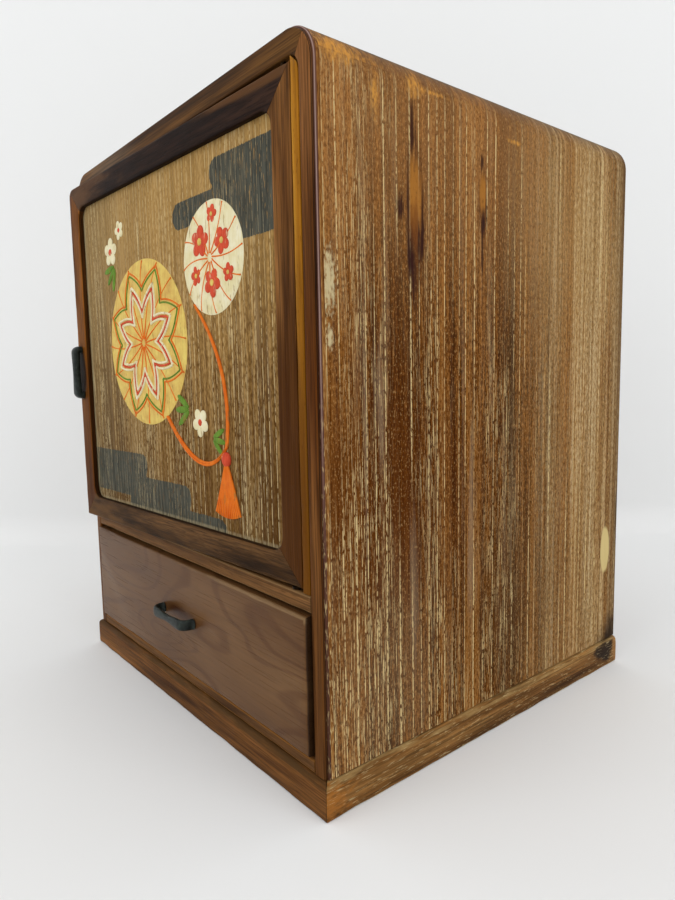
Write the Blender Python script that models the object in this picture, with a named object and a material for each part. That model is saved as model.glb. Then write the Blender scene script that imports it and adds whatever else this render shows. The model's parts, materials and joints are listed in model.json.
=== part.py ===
"""Tabletop tansu: a small wooden cabinet with one hinged picture door above one drawer.

Units are metres, +Z is up and the front faces -Y. The origin is on the ground, under the middle
of the whole cabinet as it stands with its door a little open and its drawer a little out.
"""
import math

import bmesh
import bpy
from mathutils import Vector

# Carcass
CABINET_WIDTH = 0.240
CABINET_DEPTH = 0.222
CABINET_HEIGHT = 0.300
SHOULDER_RADIUS = 0.015
SIDE_THICKNESS = 0.0075
TOP_THICKNESS = 0.0103
DIVIDER_THICKNESS = 0.007
BOTTOM_THICKNESS = 0.0055
BACK_THICKNESS = 0.005
DRAWER_OPENING_HEIGHT = 0.0609

# Shelf behind the door
SHELF_THICKNESS = 0.006
SHELF_RISE = 0.094
SHELF_SETBACK = 0.006
CLEAT_WIDTH = 0.006
CLEAT_HEIGHT = 0.006

# Plinth
PLINTH_HEIGHT = 0.0155
PLINTH_THICKNESS = 0.012
PLINTH_PROJECTION = 0.0018
PLINTH_EDGE_RADIUS = 0.0025

# Front facing and the strip that the door hangs beside
FACING_EDGE_RADIUS = 0.0012
OPENING_CORNER_RADIUS = 0.0065
HINGE_STRIP_WIDTH = 0.005
HINGE_STRIP_DEPTH = 0.014
STOP_LENGTH = 0.060
STOP_HEIGHT = 0.006
STOP_DEPTH = 0.006
STOP_MARGIN = 0.010

# Door
DOOR_AJAR = 2.4
DOOR_GAP = 0.0015
DOOR_THICKNESS = 0.012
DOOR_FRAME_WIDTH = 0.0125
DOOR_INNER_RADIUS = 0.004
DOOR_ARRIS = 0.0008
REVEAL_CHAMFER = 0.0006
PANEL_RECESS = 0.0028
PANEL_THICKNESS = 0.004
PANEL_GROOVE = 0.004
DOOR_HANDLE_DROP = 0.01

# Pivot pins of the door
PIVOT_RADIUS = 0.001
PIVOT_WALL = 0.0008
PIVOT_EDGE_SETBACK = 0.006
PIVOT_IN_DOOR = 0.008
PIVOT_IN_FRAME = 0.005
PIVOT_WASHER_RADIUS = 0.002

# Drawer
DRAWER_PROUD = 0.002
DRAWER_GAP = 0.0015
DRAWER_FRONT_THICKNESS = 0.011
DRAWER_SIDE_THICKNESS = 0.0065
DRAWER_BACK_THICKNESS = 0.0065
DRAWER_BOTTOM_THICKNESS = 0.004
DRAWER_SIDE_DROP = 0.003
DRAWER_BACK_DROP = 0.006

# Bow handles, one on the door and one on the drawer
DOOR_HANDLE_LENGTH = 0.032
DRAWER_HANDLE_LENGTH = 0.038
HANDLE_PROJECTION = 0.0071
HANDLE_FOOT_WIDTH = 0.007
HANDLE_FOOT_THICKNESS = 0.0044
HANDLE_BAR_THICKNESS = 0.0024
HANDLE_WAIST = 0.0026
HANDLE_BEND_RADIUS = 0.0018
HANDLE_SHANK_RADIUS = 0.0013
HANDLE_NUT_WIDTH = 0.005
HANDLE_NUT_THICKNESS = 0.0022
HANDLE_SHANK_END = 0.0012

# Clearances and softened edges
JOINT_GAP = 0.0003
RUNNING_GAP = 0.0003
SWING_GAP = 0.00015
STOP_GAP = 0.0004
DRAWER_BACK_GAP = 0.0005
SOFT_EDGE = 0.0006
INNER_SOFT_EDGE = 0.0003
SAME_PLACE = 0.00003

# Facets of round shapes
SHARP_ANGLE = 50
ROUND_PROFILE = 0.5
SOFT_EDGE_STEPS = 2
SHOULDER_STEPS = 14
CORNER_STEPS = 6
MITRE_STEPS = 4
EDGE_STEPS = 4
ROUND_SIDES = 16
HANDLE_SIDES = 12
BEND_STEPS = 5
BAR_STEPS = 4

# Levels, from the ground up
FLOOR_LEVEL = PLINTH_HEIGHT + BOTTOM_THICKNESS
DRAWER_LEVEL = FLOOR_LEVEL + DRAWER_OPENING_HEIGHT
DOOR_LEVEL = DRAWER_LEVEL + DIVIDER_THICKNESS
CEILING_LEVEL = CABINET_HEIGHT - TOP_THICKNESS
EAR_LEVEL = CEILING_LEVEL - OPENING_CORNER_RADIUS
SHELF_LEVEL = DOOR_LEVEL + SHELF_RISE

# Widths, from the middle out
HALF_WIDTH = CABINET_WIDTH / 2
INNER_HALF = HALF_WIDTH - SIDE_THICKNESS
BOARD_HALF = INNER_HALF - JOINT_GAP

# The pivot sits just behind the door's face, in the middle of the facing's depth
PIVOT_BORE = PIVOT_RADIUS + RUNNING_GAP
PIVOT_SETBACK = PIVOT_BORE + PIVOT_WALL
FACING_DEPTH = 2 * PIVOT_SETBACK
HINGE_GAP = math.hypot(PIVOT_EDGE_SETBACK, PIVOT_SETBACK) - PIVOT_EDGE_SETBACK + SWING_GAP
STRIP_LEFT = INNER_HALF - HINGE_STRIP_WIDTH
DOOR_RIGHT = STRIP_LEFT - HINGE_GAP
DOOR_LEFT = DOOR_GAP - INNER_HALF
DOOR_LOW = DOOR_LEVEL + DOOR_GAP
DOOR_HIGH = CEILING_LEVEL - DOOR_GAP
PIVOT_X = DOOR_RIGHT - PIVOT_EDGE_SETBACK
DOOR_HANDLE_X = DOOR_LEFT + DOOR_FRAME_WIDTH / 2
DOOR_HANDLE_Z = (DOOR_LOW + DOOR_HIGH) / 2 - DOOR_HANDLE_DROP
HANDLE_CREST = HANDLE_PROJECTION - HANDLE_BAR_THICKNESS / 2

# The open door's handle reaches furthest forward, and the depth is centred with it
AJAR = math.radians(DOOR_AJAR)
SWING_REACH = (PIVOT_X - DOOR_HANDLE_X) * math.sin(AJAR) + (PIVOT_SETBACK + HANDLE_CREST) * math.cos(AJAR)
BAR_REACH = math.hypot(HANDLE_FOOT_WIDTH / 2 * math.sin(AJAR), HANDLE_BAR_THICKNESS / 2 * math.cos(AJAR))
FRONT_REACH = SWING_REACH + BAR_REACH - PIVOT_SETBACK
BACK_Y = (CABINET_DEPTH + FRONT_REACH) / 2
FRONT_Y = BACK_Y - CABINET_DEPTH
BOARD_FRONT_Y = FRONT_Y + FACING_DEPTH + JOINT_GAP
BOARD_BACK_Y = BACK_Y - BACK_THICKNESS - JOINT_GAP
PIVOT_Y = FRONT_Y + PIVOT_SETBACK
DOOR_BACK_Y = FRONT_Y + DOOR_THICKNESS
STRIP_BACK_Y = FRONT_Y + HINGE_STRIP_DEPTH
SHELF_FRONT_Y = max(DOOR_BACK_Y, STRIP_BACK_Y) + SHELF_SETBACK
DRAWER_FRONT_Y = FRONT_Y - DRAWER_PROUD
DRAWER_BACK_Y = BOARD_BACK_Y - DRAWER_PROUD - DRAWER_BACK_GAP

# Finishes: colour, roughness, metallic
SIDE_WOOD = ((0.36, 0.22, 0.11), 0.75, 0.0)
TOP_WOOD = ((0.27, 0.16, 0.09), 0.55, 0.0)
FACING_WOOD = ((0.19, 0.10, 0.055), 0.4, 0.0)
STRIP_WOOD = ((0.50, 0.27, 0.05), 0.5, 0.0)
DOOR_WOOD = ((0.15, 0.075, 0.04), 0.4, 0.0)
PANEL_WOOD = ((0.42, 0.31, 0.17), 0.7, 0.0)
DRAWER_WOOD = ((0.27, 0.16, 0.10), 0.4, 0.0)
PLAIN_WOOD = ((0.55, 0.42, 0.27), 0.8, 0.0)
PLINTH_WOOD = ((0.24, 0.14, 0.075), 0.5, 0.0)
BLACK_IRON = ((0.02, 0.027, 0.026), 0.5, 0.9)
PIN_BRASS = ((0.55, 0.38, 0.14), 0.35, 1.0)


def clear_scene():
    for item in list(bpy.data.objects):
        bpy.data.objects.remove(item, do_unlink=True)


def make_material(name, finish):
    colour, roughness, metallic = finish
    material = bpy.data.materials.new(name + "_finish")
    material.use_nodes = True
    shader = material.node_tree.nodes["Principled BSDF"]
    shader.inputs["Base Color"].default_value = (*colour, 1.0)
    shader.inputs["Roughness"].default_value = roughness
    shader.inputs["Metallic"].default_value = metallic
    return material


def make_object(name, shape, finish=None, parent=None):
    """Turn a bmesh, drawn where the piece stands when shut, into an object under its parent."""
    if parent:
        bmesh.ops.translate(shape, verts=shape.verts, vec=-parent.location)
    bmesh.ops.recalc_face_normals(shape, faces=shape.faces)
    mesh = bpy.data.meshes.new(name)
    shape.to_mesh(mesh)
    shape.free()
    mesh.shade_smooth()
    mesh.set_sharp_from_angle(angle=math.radians(SHARP_ANGLE))
    piece = bpy.data.objects.new(name, mesh)
    bpy.context.scene.collection.objects.link(piece)
    piece.parent = parent
    if finish:
        mesh.materials.append(make_material(name, finish))
    return piece


def make_carrier(name, place, turn=0.0):
    """An empty on a moving body's axis, which carries that body's pieces."""
    carrier = bpy.data.objects.new(name, None)
    carrier.location = place
    carrier.rotation_euler = (0.0, 0.0, turn)
    bpy.context.scene.collection.objects.link(carrier)
    return carrier


def soften(piece, width):
    """Break a piece's sharp edges, and leave its round stretches alone."""
    bevel = piece.modifiers.new("soft_edges", "BEVEL")
    bevel.width = width
    bevel.segments = SOFT_EDGE_STEPS
    bevel.limit_method = "ANGLE"
    bevel.angle_limit = math.radians(SHARP_ANGLE)


def arc(centre, radius, start, end, steps):
    """Points on a round stretch of an outline, from one angle in degrees to another."""
    points = []
    for step in range(steps + 1):
        angle = math.radians(start + (end - start) * step / steps)
        points.append((centre[0] + radius * math.cos(angle), centre[1] + radius * math.sin(angle)))
    return points


def prism(outline, axis, low, high):
    """Close an outline of X with Z, or of X with Y, and extrude it along the axis left over."""
    shape = bmesh.new()
    corners = []
    for across, other in outline:
        place = (across, low, other) if axis == "Y" else (across, other, low)
        corners.append(shape.verts.new(place))
    face = shape.faces.new(corners)
    grown = bmesh.ops.extrude_face_region(shape, geom=[face])["geom"]
    ends = [item for item in grown if isinstance(item, bmesh.types.BMVert)]
    length = high - low
    step = (0, length, 0) if axis == "Y" else (0, 0, length)
    bmesh.ops.translate(shape, verts=ends, vec=step)
    return shape


def board(name, x_span, y_span, z_span, finish, parent=None, edge=SOFT_EDGE):
    """A plain sawn board between two corners."""
    left, right = x_span
    front, back = y_span
    outline = [(left, front), (right, front), (right, back), (left, back)]
    piece = make_object(name, prism(outline, "Z", *z_span), finish, parent)
    soften(piece, edge)
    return piece


def round_edges(shape, chosen, radius):
    """Round the edges that a test picks."""
    shape.edges.ensure_lookup_table()
    edges = [edge for edge in shape.edges if chosen(*(vert.co for vert in edge.verts))]
    bmesh.ops.bevel(
        shape, geom=edges, offset=radius, offset_type="OFFSET", segments=EDGE_STEPS,
        profile=ROUND_PROFILE, affect="EDGES", clamp_overlap=True)


def near(value, target):
    return abs(value - target) < SAME_PLACE


def circle(centre, radius):
    return arc(centre, radius, 0, 360 - 360 / ROUND_SIDES, ROUND_SIDES - 1)


def pivot_rod(low, high, radius):
    """A round bar on the door's axis, between two heights."""
    return prism(circle((PIVOT_X, PIVOT_Y), radius), "Z", low, high)


def make_cutter(name, shape, parent=None):
    cutter = make_object(name, shape, None, parent)
    cutter.hide_render = True
    cutter.display_type = "WIRE"
    return cutter


def cut(piece, cutter):
    boolean = piece.modifiers.new("cut_" + cutter.name, "BOOLEAN")
    boolean.operation = "DIFFERENCE"
    boolean.object = cutter


def mirrored(points):
    """An outline's right half, going up, followed by its left half, going down."""
    return points + [(-across, up) for across, up in reversed(points)]


def shoulder(low, high, steps=SHOULDER_STEPS):
    """The cabinet's right outer line between two heights, going up over the rounded shoulder."""
    centre = (HALF_WIDTH - SHOULDER_RADIUS, CABINET_HEIGHT - SHOULDER_RADIUS)
    points = []
    if low < centre[1]:
        points.append((HALF_WIDTH, low))
    first = math.degrees(math.asin(max(0.0, low - centre[1]) / SHOULDER_RADIUS))
    last = math.degrees(math.asin(min(SHOULDER_RADIUS, max(0.0, high - centre[1])) / SHOULDER_RADIUS))
    if last > first:
        points += arc(centre, SHOULDER_RADIUS, first, last, steps)
    else:
        points.append((HALF_WIDTH, high))
    return points


def build_carcass():
    low = PLINTH_HEIGHT + JOINT_GAP
    high = CEILING_LEVEL - JOINT_GAP
    outer = shoulder(low, high, CORNER_STEPS)
    right = outer + [(INNER_HALF, high), (INNER_HALF, low)]
    for name, sign in (("side_right", 1), ("side_left", -1)):
        outline = [(sign * across, up) for across, up in right]
        side = make_object(name, prism(outline, "Y", BOARD_FRONT_Y, BACK_Y), SIDE_WOOD)
        soften(side, SOFT_EDGE)

    crown = prism(mirrored(shoulder(CEILING_LEVEL, CABINET_HEIGHT)), "Y", BOARD_FRONT_Y, BACK_Y)
    soften(make_object("top_board", crown, TOP_WOOD), SOFT_EDGE)

    across = (-BOARD_HALF, BOARD_HALF)
    deep = (BOARD_FRONT_Y, BOARD_BACK_Y)
    board("bottom_board", across, deep, (low, FLOOR_LEVEL), PLAIN_WOOD, edge=INNER_SOFT_EDGE)
    board("divider_board", across, deep, (DRAWER_LEVEL, DOOR_LEVEL), PLAIN_WOOD, edge=INNER_SOFT_EDGE)
    board("back_panel", across, (BACK_Y - BACK_THICKNESS, BACK_Y), (low, high), SIDE_WOOD)


def build_shelf():
    deep = (SHELF_FRONT_Y, BOARD_BACK_Y)
    top = SHELF_LEVEL + SHELF_THICKNESS
    board("shelf", (-BOARD_HALF, BOARD_HALF), deep, (SHELF_LEVEL, top), PLAIN_WOOD)
    under = (SHELF_LEVEL - JOINT_GAP - CLEAT_HEIGHT, SHELF_LEVEL - JOINT_GAP)
    inner = BOARD_HALF - CLEAT_WIDTH
    board("shelf_cleat_right", (inner, BOARD_HALF), deep, under, PLAIN_WOOD)
    board("shelf_cleat_left", (-BOARD_HALF, -inner), deep, under, PLAIN_WOOD)


def build_plinth():
    """A mitred base frame: its top outer edges are rounded, and its back is square."""
    half = HALF_WIDTH + PLINTH_PROJECTION
    front = FRONT_Y - PLINTH_PROJECTION
    inner_half = half - PLINTH_THICKNESS
    inner_front = front + PLINTH_THICKNESS
    gap = JOINT_GAP * math.sqrt(0.5)

    def rounded(name, outline, on_edge):
        shape = prism(outline, "Z", 0.0, PLINTH_HEIGHT)

        def chosen(one, two):
            level = near(one.z, PLINTH_HEIGHT) and near(two.z, PLINTH_HEIGHT)
            return level and on_edge(one) and on_edge(two)

        round_edges(shape, chosen, PLINTH_EDGE_RADIUS)
        soften(make_object(name, shape, PLINTH_WOOD), INNER_SOFT_EDGE)

    front_half = [(half - gap, front), (inner_half - gap, inner_front)]
    rounded("plinth_front", mirrored(front_half), lambda point: near(point.y, front))
    for name, sign in (("plinth_right", 1), ("plinth_left", -1)):
        outline = [
            (sign * half, front + gap), (sign * half, BACK_Y),
            (sign * inner_half, BACK_Y), (sign * inner_half, inner_front + gap)]
        rounded(name, outline, lambda point, edge=sign * half: near(point.x, edge))
    span = inner_half - JOINT_GAP
    board(
        "plinth_back", (-span, span), (BACK_Y - PLINTH_THICKNESS, BACK_Y), (0.0, PLINTH_HEIGHT),
        PLINTH_WOOD, edge=INNER_SOFT_EDGE)


def build_facing(pivot_cutters):
    """Thin dark edging over the front edges of the boards."""
    deep = (FRONT_Y, FRONT_Y + FACING_DEPTH)
    low = PLINTH_HEIGHT + JOINT_GAP
    high = EAR_LEVEL - JOINT_GAP
    for name, sign in (("facing_stile_right", 1), ("facing_stile_left", -1)):
        outer = sign * HALF_WIDTH
        inner = sign * INNER_HALF
        outline = [(inner, low), (outer, low), (outer, high), (inner, high)]
        shape = prism(outline, "Y", *deep)

        def outer_arris(one, two, edge=outer):
            return all(near(point.x, edge) and near(point.y, FRONT_Y) for point in (one, two))

        round_edges(shape, outer_arris, FACING_EDGE_RADIUS)
        soften(make_object(name, shape, FACING_WOOD), INNER_SOFT_EDGE)

    corner = (INNER_HALF - OPENING_CORNER_RADIUS, EAR_LEVEL)
    inner = arc(corner, OPENING_CORNER_RADIUS, 0, 90, CORNER_STEPS)
    outline = mirrored(shoulder(EAR_LEVEL, CABINET_HEIGHT)) + list(reversed(mirrored(inner)))
    shape = prism(outline, "Y", *deep)

    def crown_arris(one, two):
        middle = (one + two) / 2
        at_front = near(one.y, FRONT_Y) and near(two.y, FRONT_Y)
        outside = abs(middle.x) > INNER_HALF + JOINT_GAP or middle.z > CEILING_LEVEL + JOINT_GAP
        return at_front and outside and not near(middle.z, EAR_LEVEL)

    round_edges(shape, crown_arris, FACING_EDGE_RADIUS)
    top_rail = make_object("facing_top_rail", shape, FACING_WOOD)
    soften(top_rail, INNER_SOFT_EDGE)
    cut(top_rail, pivot_cutters["upper"])

    across = (-BOARD_HALF, BOARD_HALF)
    mid_rail = board(
        "facing_mid_rail", across, deep, (DRAWER_LEVEL, DOOR_LEVEL), FACING_WOOD, edge=INNER_SOFT_EDGE)
    cut(mid_rail, pivot_cutters["lower"])
    board("facing_bottom_rail", across, deep, (low, FLOOR_LEVEL), FACING_WOOD, edge=INNER_SOFT_EDGE)


def build_door_surround():
    """The pale strip beside the hinged edge, and the block that the shut door meets."""
    corner = (INNER_HALF - OPENING_CORNER_RADIUS, EAR_LEVEL)
    radius = OPENING_CORNER_RADIUS - JOINT_GAP
    reach = min(1.0, max(0.0, (STRIP_LEFT - corner[0]) / radius))
    low = DOOR_LEVEL + JOINT_GAP
    outline = [(STRIP_LEFT, low), (BOARD_HALF, low)]
    outline += arc(corner, radius, 0, math.degrees(math.acos(reach)), CORNER_STEPS)
    if STRIP_LEFT < corner[0]:
        outline.append((STRIP_LEFT, CEILING_LEVEL - JOINT_GAP))
    shape = prism(outline, "Y", FRONT_Y, STRIP_BACK_Y)
    soften(make_object("hinge_strip", shape, STRIP_WOOD), INNER_SOFT_EDGE)

    left = STOP_MARGIN - INNER_HALF
    front = DOOR_BACK_Y + STOP_GAP
    high = CEILING_LEVEL - JOINT_GAP
    across = (left, left + STOP_LENGTH)
    board("door_stop", across, (front, front + STOP_DEPTH), (high - STOP_HEIGHT, high), PLAIN_WOOD)


def build_pivots(carrier):
    """Pins that stand in the facing rails, bores for them, and the washer under the door."""
    spans = {
        "upper": (DOOR_HIGH - PIVOT_IN_DOOR, CEILING_LEVEL + PIVOT_IN_FRAME),
        "lower": (DOOR_LEVEL - PIVOT_IN_FRAME, DOOR_LOW + PIVOT_IN_DOOR)}
    frame_cutters = {}
    door_cutters = {}
    for place, (low, high) in spans.items():
        make_object("pivot_pin_" + place, pivot_rod(low, high, PIVOT_RADIUS), PIN_BRASS)
        bore_span = (low - RUNNING_GAP, high + RUNNING_GAP)
        bore = pivot_rod(*bore_span, PIVOT_BORE)
        frame_cutters[place] = make_cutter("pivot_bore_frame_" + place, bore)
        bore = pivot_rod(*bore_span, PIVOT_BORE)
        door_cutters[place] = make_cutter("pivot_bore_door_" + place, bore, carrier)

    ring = pivot_rod(DOOR_LEVEL + RUNNING_GAP, DOOR_LOW - RUNNING_GAP, PIVOT_WASHER_RADIUS)
    washer = make_object("pivot_washer", ring, PIN_BRASS)
    cut(washer, frame_cutters["lower"])
    return frame_cutters, door_cutters


def corner_line(depth_in, own_radius, reach):
    """Half of a corner, from its mitre to where the edge runs straight, as (along, in) points.

    A rounded corner keeps its own centre, and a square one is stepped evenly over the reach."""
    if own_radius > depth_in:
        return arc((own_radius, own_radius), own_radius - depth_in, 225, 270, MITRE_STEPS)
    steps = [step / MITRE_STEPS for step in range(MITRE_STEPS + 1)]
    return [(depth_in + (reach - depth_in) * step, depth_in) for step in steps]


def frame_member(length, start_radius, end_radius):
    """A grooved and mitred door member as rings of (along, in, back) points."""
    inner_centre = DOOR_FRAME_WIDTH + DOOR_INNER_RADIUS
    width = DOOR_FRAME_WIDTH
    groove = width - PANEL_GROOVE
    groove_front = PANEL_RECESS
    groove_back = PANEL_RECESS + PANEL_THICKNESS + 2 * JOINT_GAP
    outer_lines = [(0.0, DOOR_THICKNESS), (0.0, DOOR_ARRIS), (DOOR_ARRIS, 0.0)]
    inner_lines = [
        (width - REVEAL_CHAMFER, 0.0), (width, REVEAL_CHAMFER), (width, groove_front),
        (groove, groove_front), (groove, groove_back), (width, groove_back), (width, DOOR_THICKNESS)]
    shift = JOINT_GAP * math.sqrt(0.5)

    def half(own_radius):
        lines = [(corner_line(into, own_radius, inner_centre), back) for into, back in outer_lines]
        lines += [(corner_line(into, inner_centre, inner_centre), back) for into, back in inner_lines]
        rings = []
        for step in range(MITRE_STEPS + 1):
            rings.append([(line[step][0] + shift, line[step][1], back) for line, back in lines])
        return rings

    ending = [[(length - along, into, back) for along, into, back in ring] for ring in half(end_radius)]
    return half(start_radius) + list(reversed(ending))


def skin(rings):
    """Join rings of points into one closed body with flat ends."""
    shape = bmesh.new()
    loops = [[shape.verts.new(point) for point in ring] for ring in rings]
    count = len(rings[0])
    for loop, following in zip(loops, loops[1:]):
        for index in range(count):
            after = (index + 1) % count
            shape.faces.new((loop[index], loop[after], following[after], following[index]))
    shape.faces.new(loops[0])
    shape.faces.new(loops[-1])
    return shape


def build_door(carrier, pivot_cutters):
    width = DOOR_RIGHT - DOOR_LEFT
    height = DOOR_HIGH - DOOR_LOW
    outer_radius = max(0.0, OPENING_CORNER_RADIUS - DOOR_GAP)
    members = {
        "door_top_rail": (
            width, outer_radius, 0.0,
            lambda along, into, back: (DOOR_LEFT + along, FRONT_Y + back, DOOR_HIGH - into)),
        "door_bottom_rail": (
            width, 0.0, 0.0,
            lambda along, into, back: (DOOR_LEFT + along, FRONT_Y + back, DOOR_LOW + into)),
        "door_latch_stile": (
            height, 0.0, outer_radius,
            lambda along, into, back: (DOOR_LEFT + into, FRONT_Y + back, DOOR_LOW + along)),
        "door_hinge_stile": (
            height, 0.0, 0.0,
            lambda along, into, back: (DOOR_RIGHT - into, FRONT_Y + back, DOOR_LOW + along))}
    pieces = {}
    for name, (length, start_radius, end_radius, place) in members.items():
        member = frame_member(length, start_radius, end_radius)
        rings = [[place(*point) for point in ring] for ring in member]
        pieces[name] = make_object(name, skin(rings), DOOR_WOOD, carrier)
    for name, place in (("door_top_rail", "upper"), ("door_bottom_rail", "lower")):
        cut(pieces[name], pivot_cutters[place])
        cut(pieces["door_hinge_stile"], pivot_cutters[place])

    inset = DOOR_FRAME_WIDTH - PANEL_GROOVE + JOINT_GAP
    radius = DOOR_INNER_RADIUS + PANEL_GROOVE - JOINT_GAP
    left = DOOR_LEFT + inset + radius
    right = DOOR_RIGHT - inset - radius
    low = DOOR_LOW + inset + radius
    high = DOOR_HIGH - inset - radius
    outline = []
    for index, centre in enumerate(((right, high), (left, high), (left, low), (right, low))):
        outline += arc(centre, radius, 90 * index, 90 * index + 90, CORNER_STEPS)
    front = FRONT_Y + PANEL_RECESS + JOINT_GAP
    make_object("door_panel", prism(outline, "Y", front, front + PANEL_THICKNESS), PANEL_WOOD, carrier)

    centre = (DOOR_HANDLE_X, FRONT_Y, DOOR_HANDLE_Z)
    latch_stile = pieces["door_latch_stile"]
    fit_handle(
        "door", ("lower", "upper"), latch_stile, centre, "Z", DOOR_HANDLE_LENGTH, DOOR_THICKNESS, carrier)


def build_drawer(carrier):
    left = DRAWER_GAP - INNER_HALF
    right = INNER_HALF - DRAWER_GAP
    high = DRAWER_LEVEL - DRAWER_GAP
    box_front = DRAWER_FRONT_Y + DRAWER_FRONT_THICKNESS + JOINT_GAP
    bottom_low = FLOOR_LEVEL + RUNNING_GAP
    bottom_high = bottom_low + DRAWER_BOTTOM_THICKNESS
    wall_low = bottom_high + JOINT_GAP
    wall_high = high - DRAWER_SIDE_DROP
    back_front = DRAWER_BACK_Y - DRAWER_BACK_THICKNESS
    face = board(
        "drawer_front", (left, right), (DRAWER_FRONT_Y, DRAWER_FRONT_Y + DRAWER_FRONT_THICKNESS),
        (FLOOR_LEVEL + DRAWER_GAP, high), DRAWER_WOOD, carrier)
    walls = (box_front, DRAWER_BACK_Y)
    inner_right = right - DRAWER_SIDE_THICKNESS
    board("drawer_side_right", (inner_right, right), walls, (wall_low, wall_high), PLAIN_WOOD, carrier)
    board("drawer_side_left", (left, -inner_right), walls, (wall_low, wall_high), PLAIN_WOOD, carrier)
    span = inner_right - JOINT_GAP
    board(
        "drawer_back", (-span, span), (back_front, DRAWER_BACK_Y), (wall_low, high - DRAWER_BACK_DROP),
        PLAIN_WOOD, carrier)
    board(
        "drawer_bottom", (left, right), (box_front, DRAWER_BACK_Y), (bottom_low, bottom_high),
        PLAIN_WOOD, carrier, INNER_SOFT_EDGE)
    centre = (0.0, DRAWER_FRONT_Y, (FLOOR_LEVEL + DRAWER_LEVEL) / 2)
    fit_handle(
        "drawer", ("left", "right"), face, centre, "X", DRAWER_HANDLE_LENGTH, DRAWER_FRONT_THICKNESS, carrier)


def handle_rings(foot, shank):
    """A bow handle as rings of (along, across, out) points, with its shanks behind the wood's face.

    Each half station holds a place along and out, the path's slope there in degrees, and half the
    handle's size across and in thickness."""
    wide = HANDLE_FOOT_WIDTH / 2
    thick = HANDLE_FOOT_THICKNESS / 2
    bar = HANDLE_BAR_THICKNESS / 2
    bend = HANDLE_BEND_RADIUS
    crest = HANDLE_CREST
    stations = [
        (-foot, -shank, 90, HANDLE_SHANK_RADIUS, HANDLE_SHANK_RADIUS),
        (-foot, JOINT_GAP, 90, HANDLE_SHANK_RADIUS, HANDLE_SHANK_RADIUS),
        (-foot, JOINT_GAP, 90, wide, thick)]
    for step in range(BEND_STEPS + 1):
        turn = step / BEND_STEPS
        angle = math.radians(90 * turn)
        along = -foot + bend * (1 - math.cos(angle))
        out = crest - bend + bend * math.sin(angle)
        stations.append((along, out, 90 - 90 * turn, wide, bar))
    straight = foot - bend
    for step in range(1, BAR_STEPS + 1):
        share = step / BAR_STEPS
        ease = (1 - math.cos(math.pi * share)) / 2
        waist = wide + (HANDLE_WAIST / 2 - wide) * ease
        stations.append((-straight * (1 - share), crest, 0, waist, bar))
    for along, out, slope, half_wide, half_thick in reversed(stations[:-1]):
        stations.append((-along, out, -slope, half_wide, half_thick))
    rings = []
    for along, out, slope, half_wide, half_thick in stations:
        lean = math.radians(slope)
        ring = []
        for side in range(HANDLE_SIDES):
            angle = math.tau * side / HANDLE_SIDES
            across = half_wide * math.cos(angle)
            lift = half_thick * math.sin(angle)
            ring.append((along - lift * math.sin(lean), across, out + lift * math.cos(lean)))
        rings.append(ring)
    return rings


def fit_handle(owner, ends, wood, centre, direction, length, thickness, carrier):
    """Set a handle on a piece of wood: bore it for the shanks and put a nut on each behind it."""
    centre = Vector(centre)
    along_axis = Vector((1, 0, 0)) if direction == "X" else Vector((0, 0, 1))
    across_axis = Vector((0, 0, 1)) if direction == "X" else Vector((1, 0, 0))
    out_axis = Vector((0, -1, 0))
    foot = (length - HANDLE_FOOT_THICKNESS) / 2
    shank = thickness + JOINT_GAP + HANDLE_NUT_THICKNESS + HANDLE_SHANK_END

    def place_point(along, across, out):
        return centre + along_axis * along + across_axis * across + out_axis * out

    rings = [[place_point(*point) for point in ring] for ring in handle_rings(foot, shank)]
    make_object(owner + "_handle", skin(rings), BLACK_IRON, carrier)

    bore_radius = HANDLE_SHANK_RADIUS + JOINT_GAP
    bore_span = (centre.y - HANDLE_SHANK_END, centre.y + shank + HANDLE_SHANK_END)
    nut_front = centre.y + thickness + JOINT_GAP
    for end_name, sign in zip(ends, (-1, 1)):
        place = centre + along_axis * foot * sign
        middle = (place.x, place.z)
        bore = prism(circle(middle, bore_radius), "Y", *bore_span)
        cutter = make_cutter(owner + "_handle_bore_" + end_name, bore, carrier)
        cut(wood, cutter)
        nut_outline = arc(middle, HANDLE_NUT_WIDTH * math.sqrt(0.5), 45, 315, 3)
        nut = prism(nut_outline, "Y", nut_front, nut_front + HANDLE_NUT_THICKNESS)
        cut(make_object(owner + "_handle_nut_" + end_name, nut, BLACK_IRON, carrier), cutter)


clear_scene()
door_carrier = make_carrier("door_axis", (PIVOT_X, PIVOT_Y, DOOR_LOW), AJAR)
drawer_carrier = make_carrier("drawer_slide", (0.0, DRAWER_FRONT_Y, FLOOR_LEVEL))
build_carcass()
build_shelf()
build_plinth()
in_frame, in_door = build_pivots(door_carrier)
build_facing(in_frame)
build_door_surround()
build_door(door_carrier, in_door)
build_drawer(drawer_carrier)
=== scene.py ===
"""Looks of the tabletop tansu: worn wood, painted door panel and black iron, built around its frame."""
import json
import math

import bmesh
import bpy
from mathutils import Matrix, Vector, noise


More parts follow.
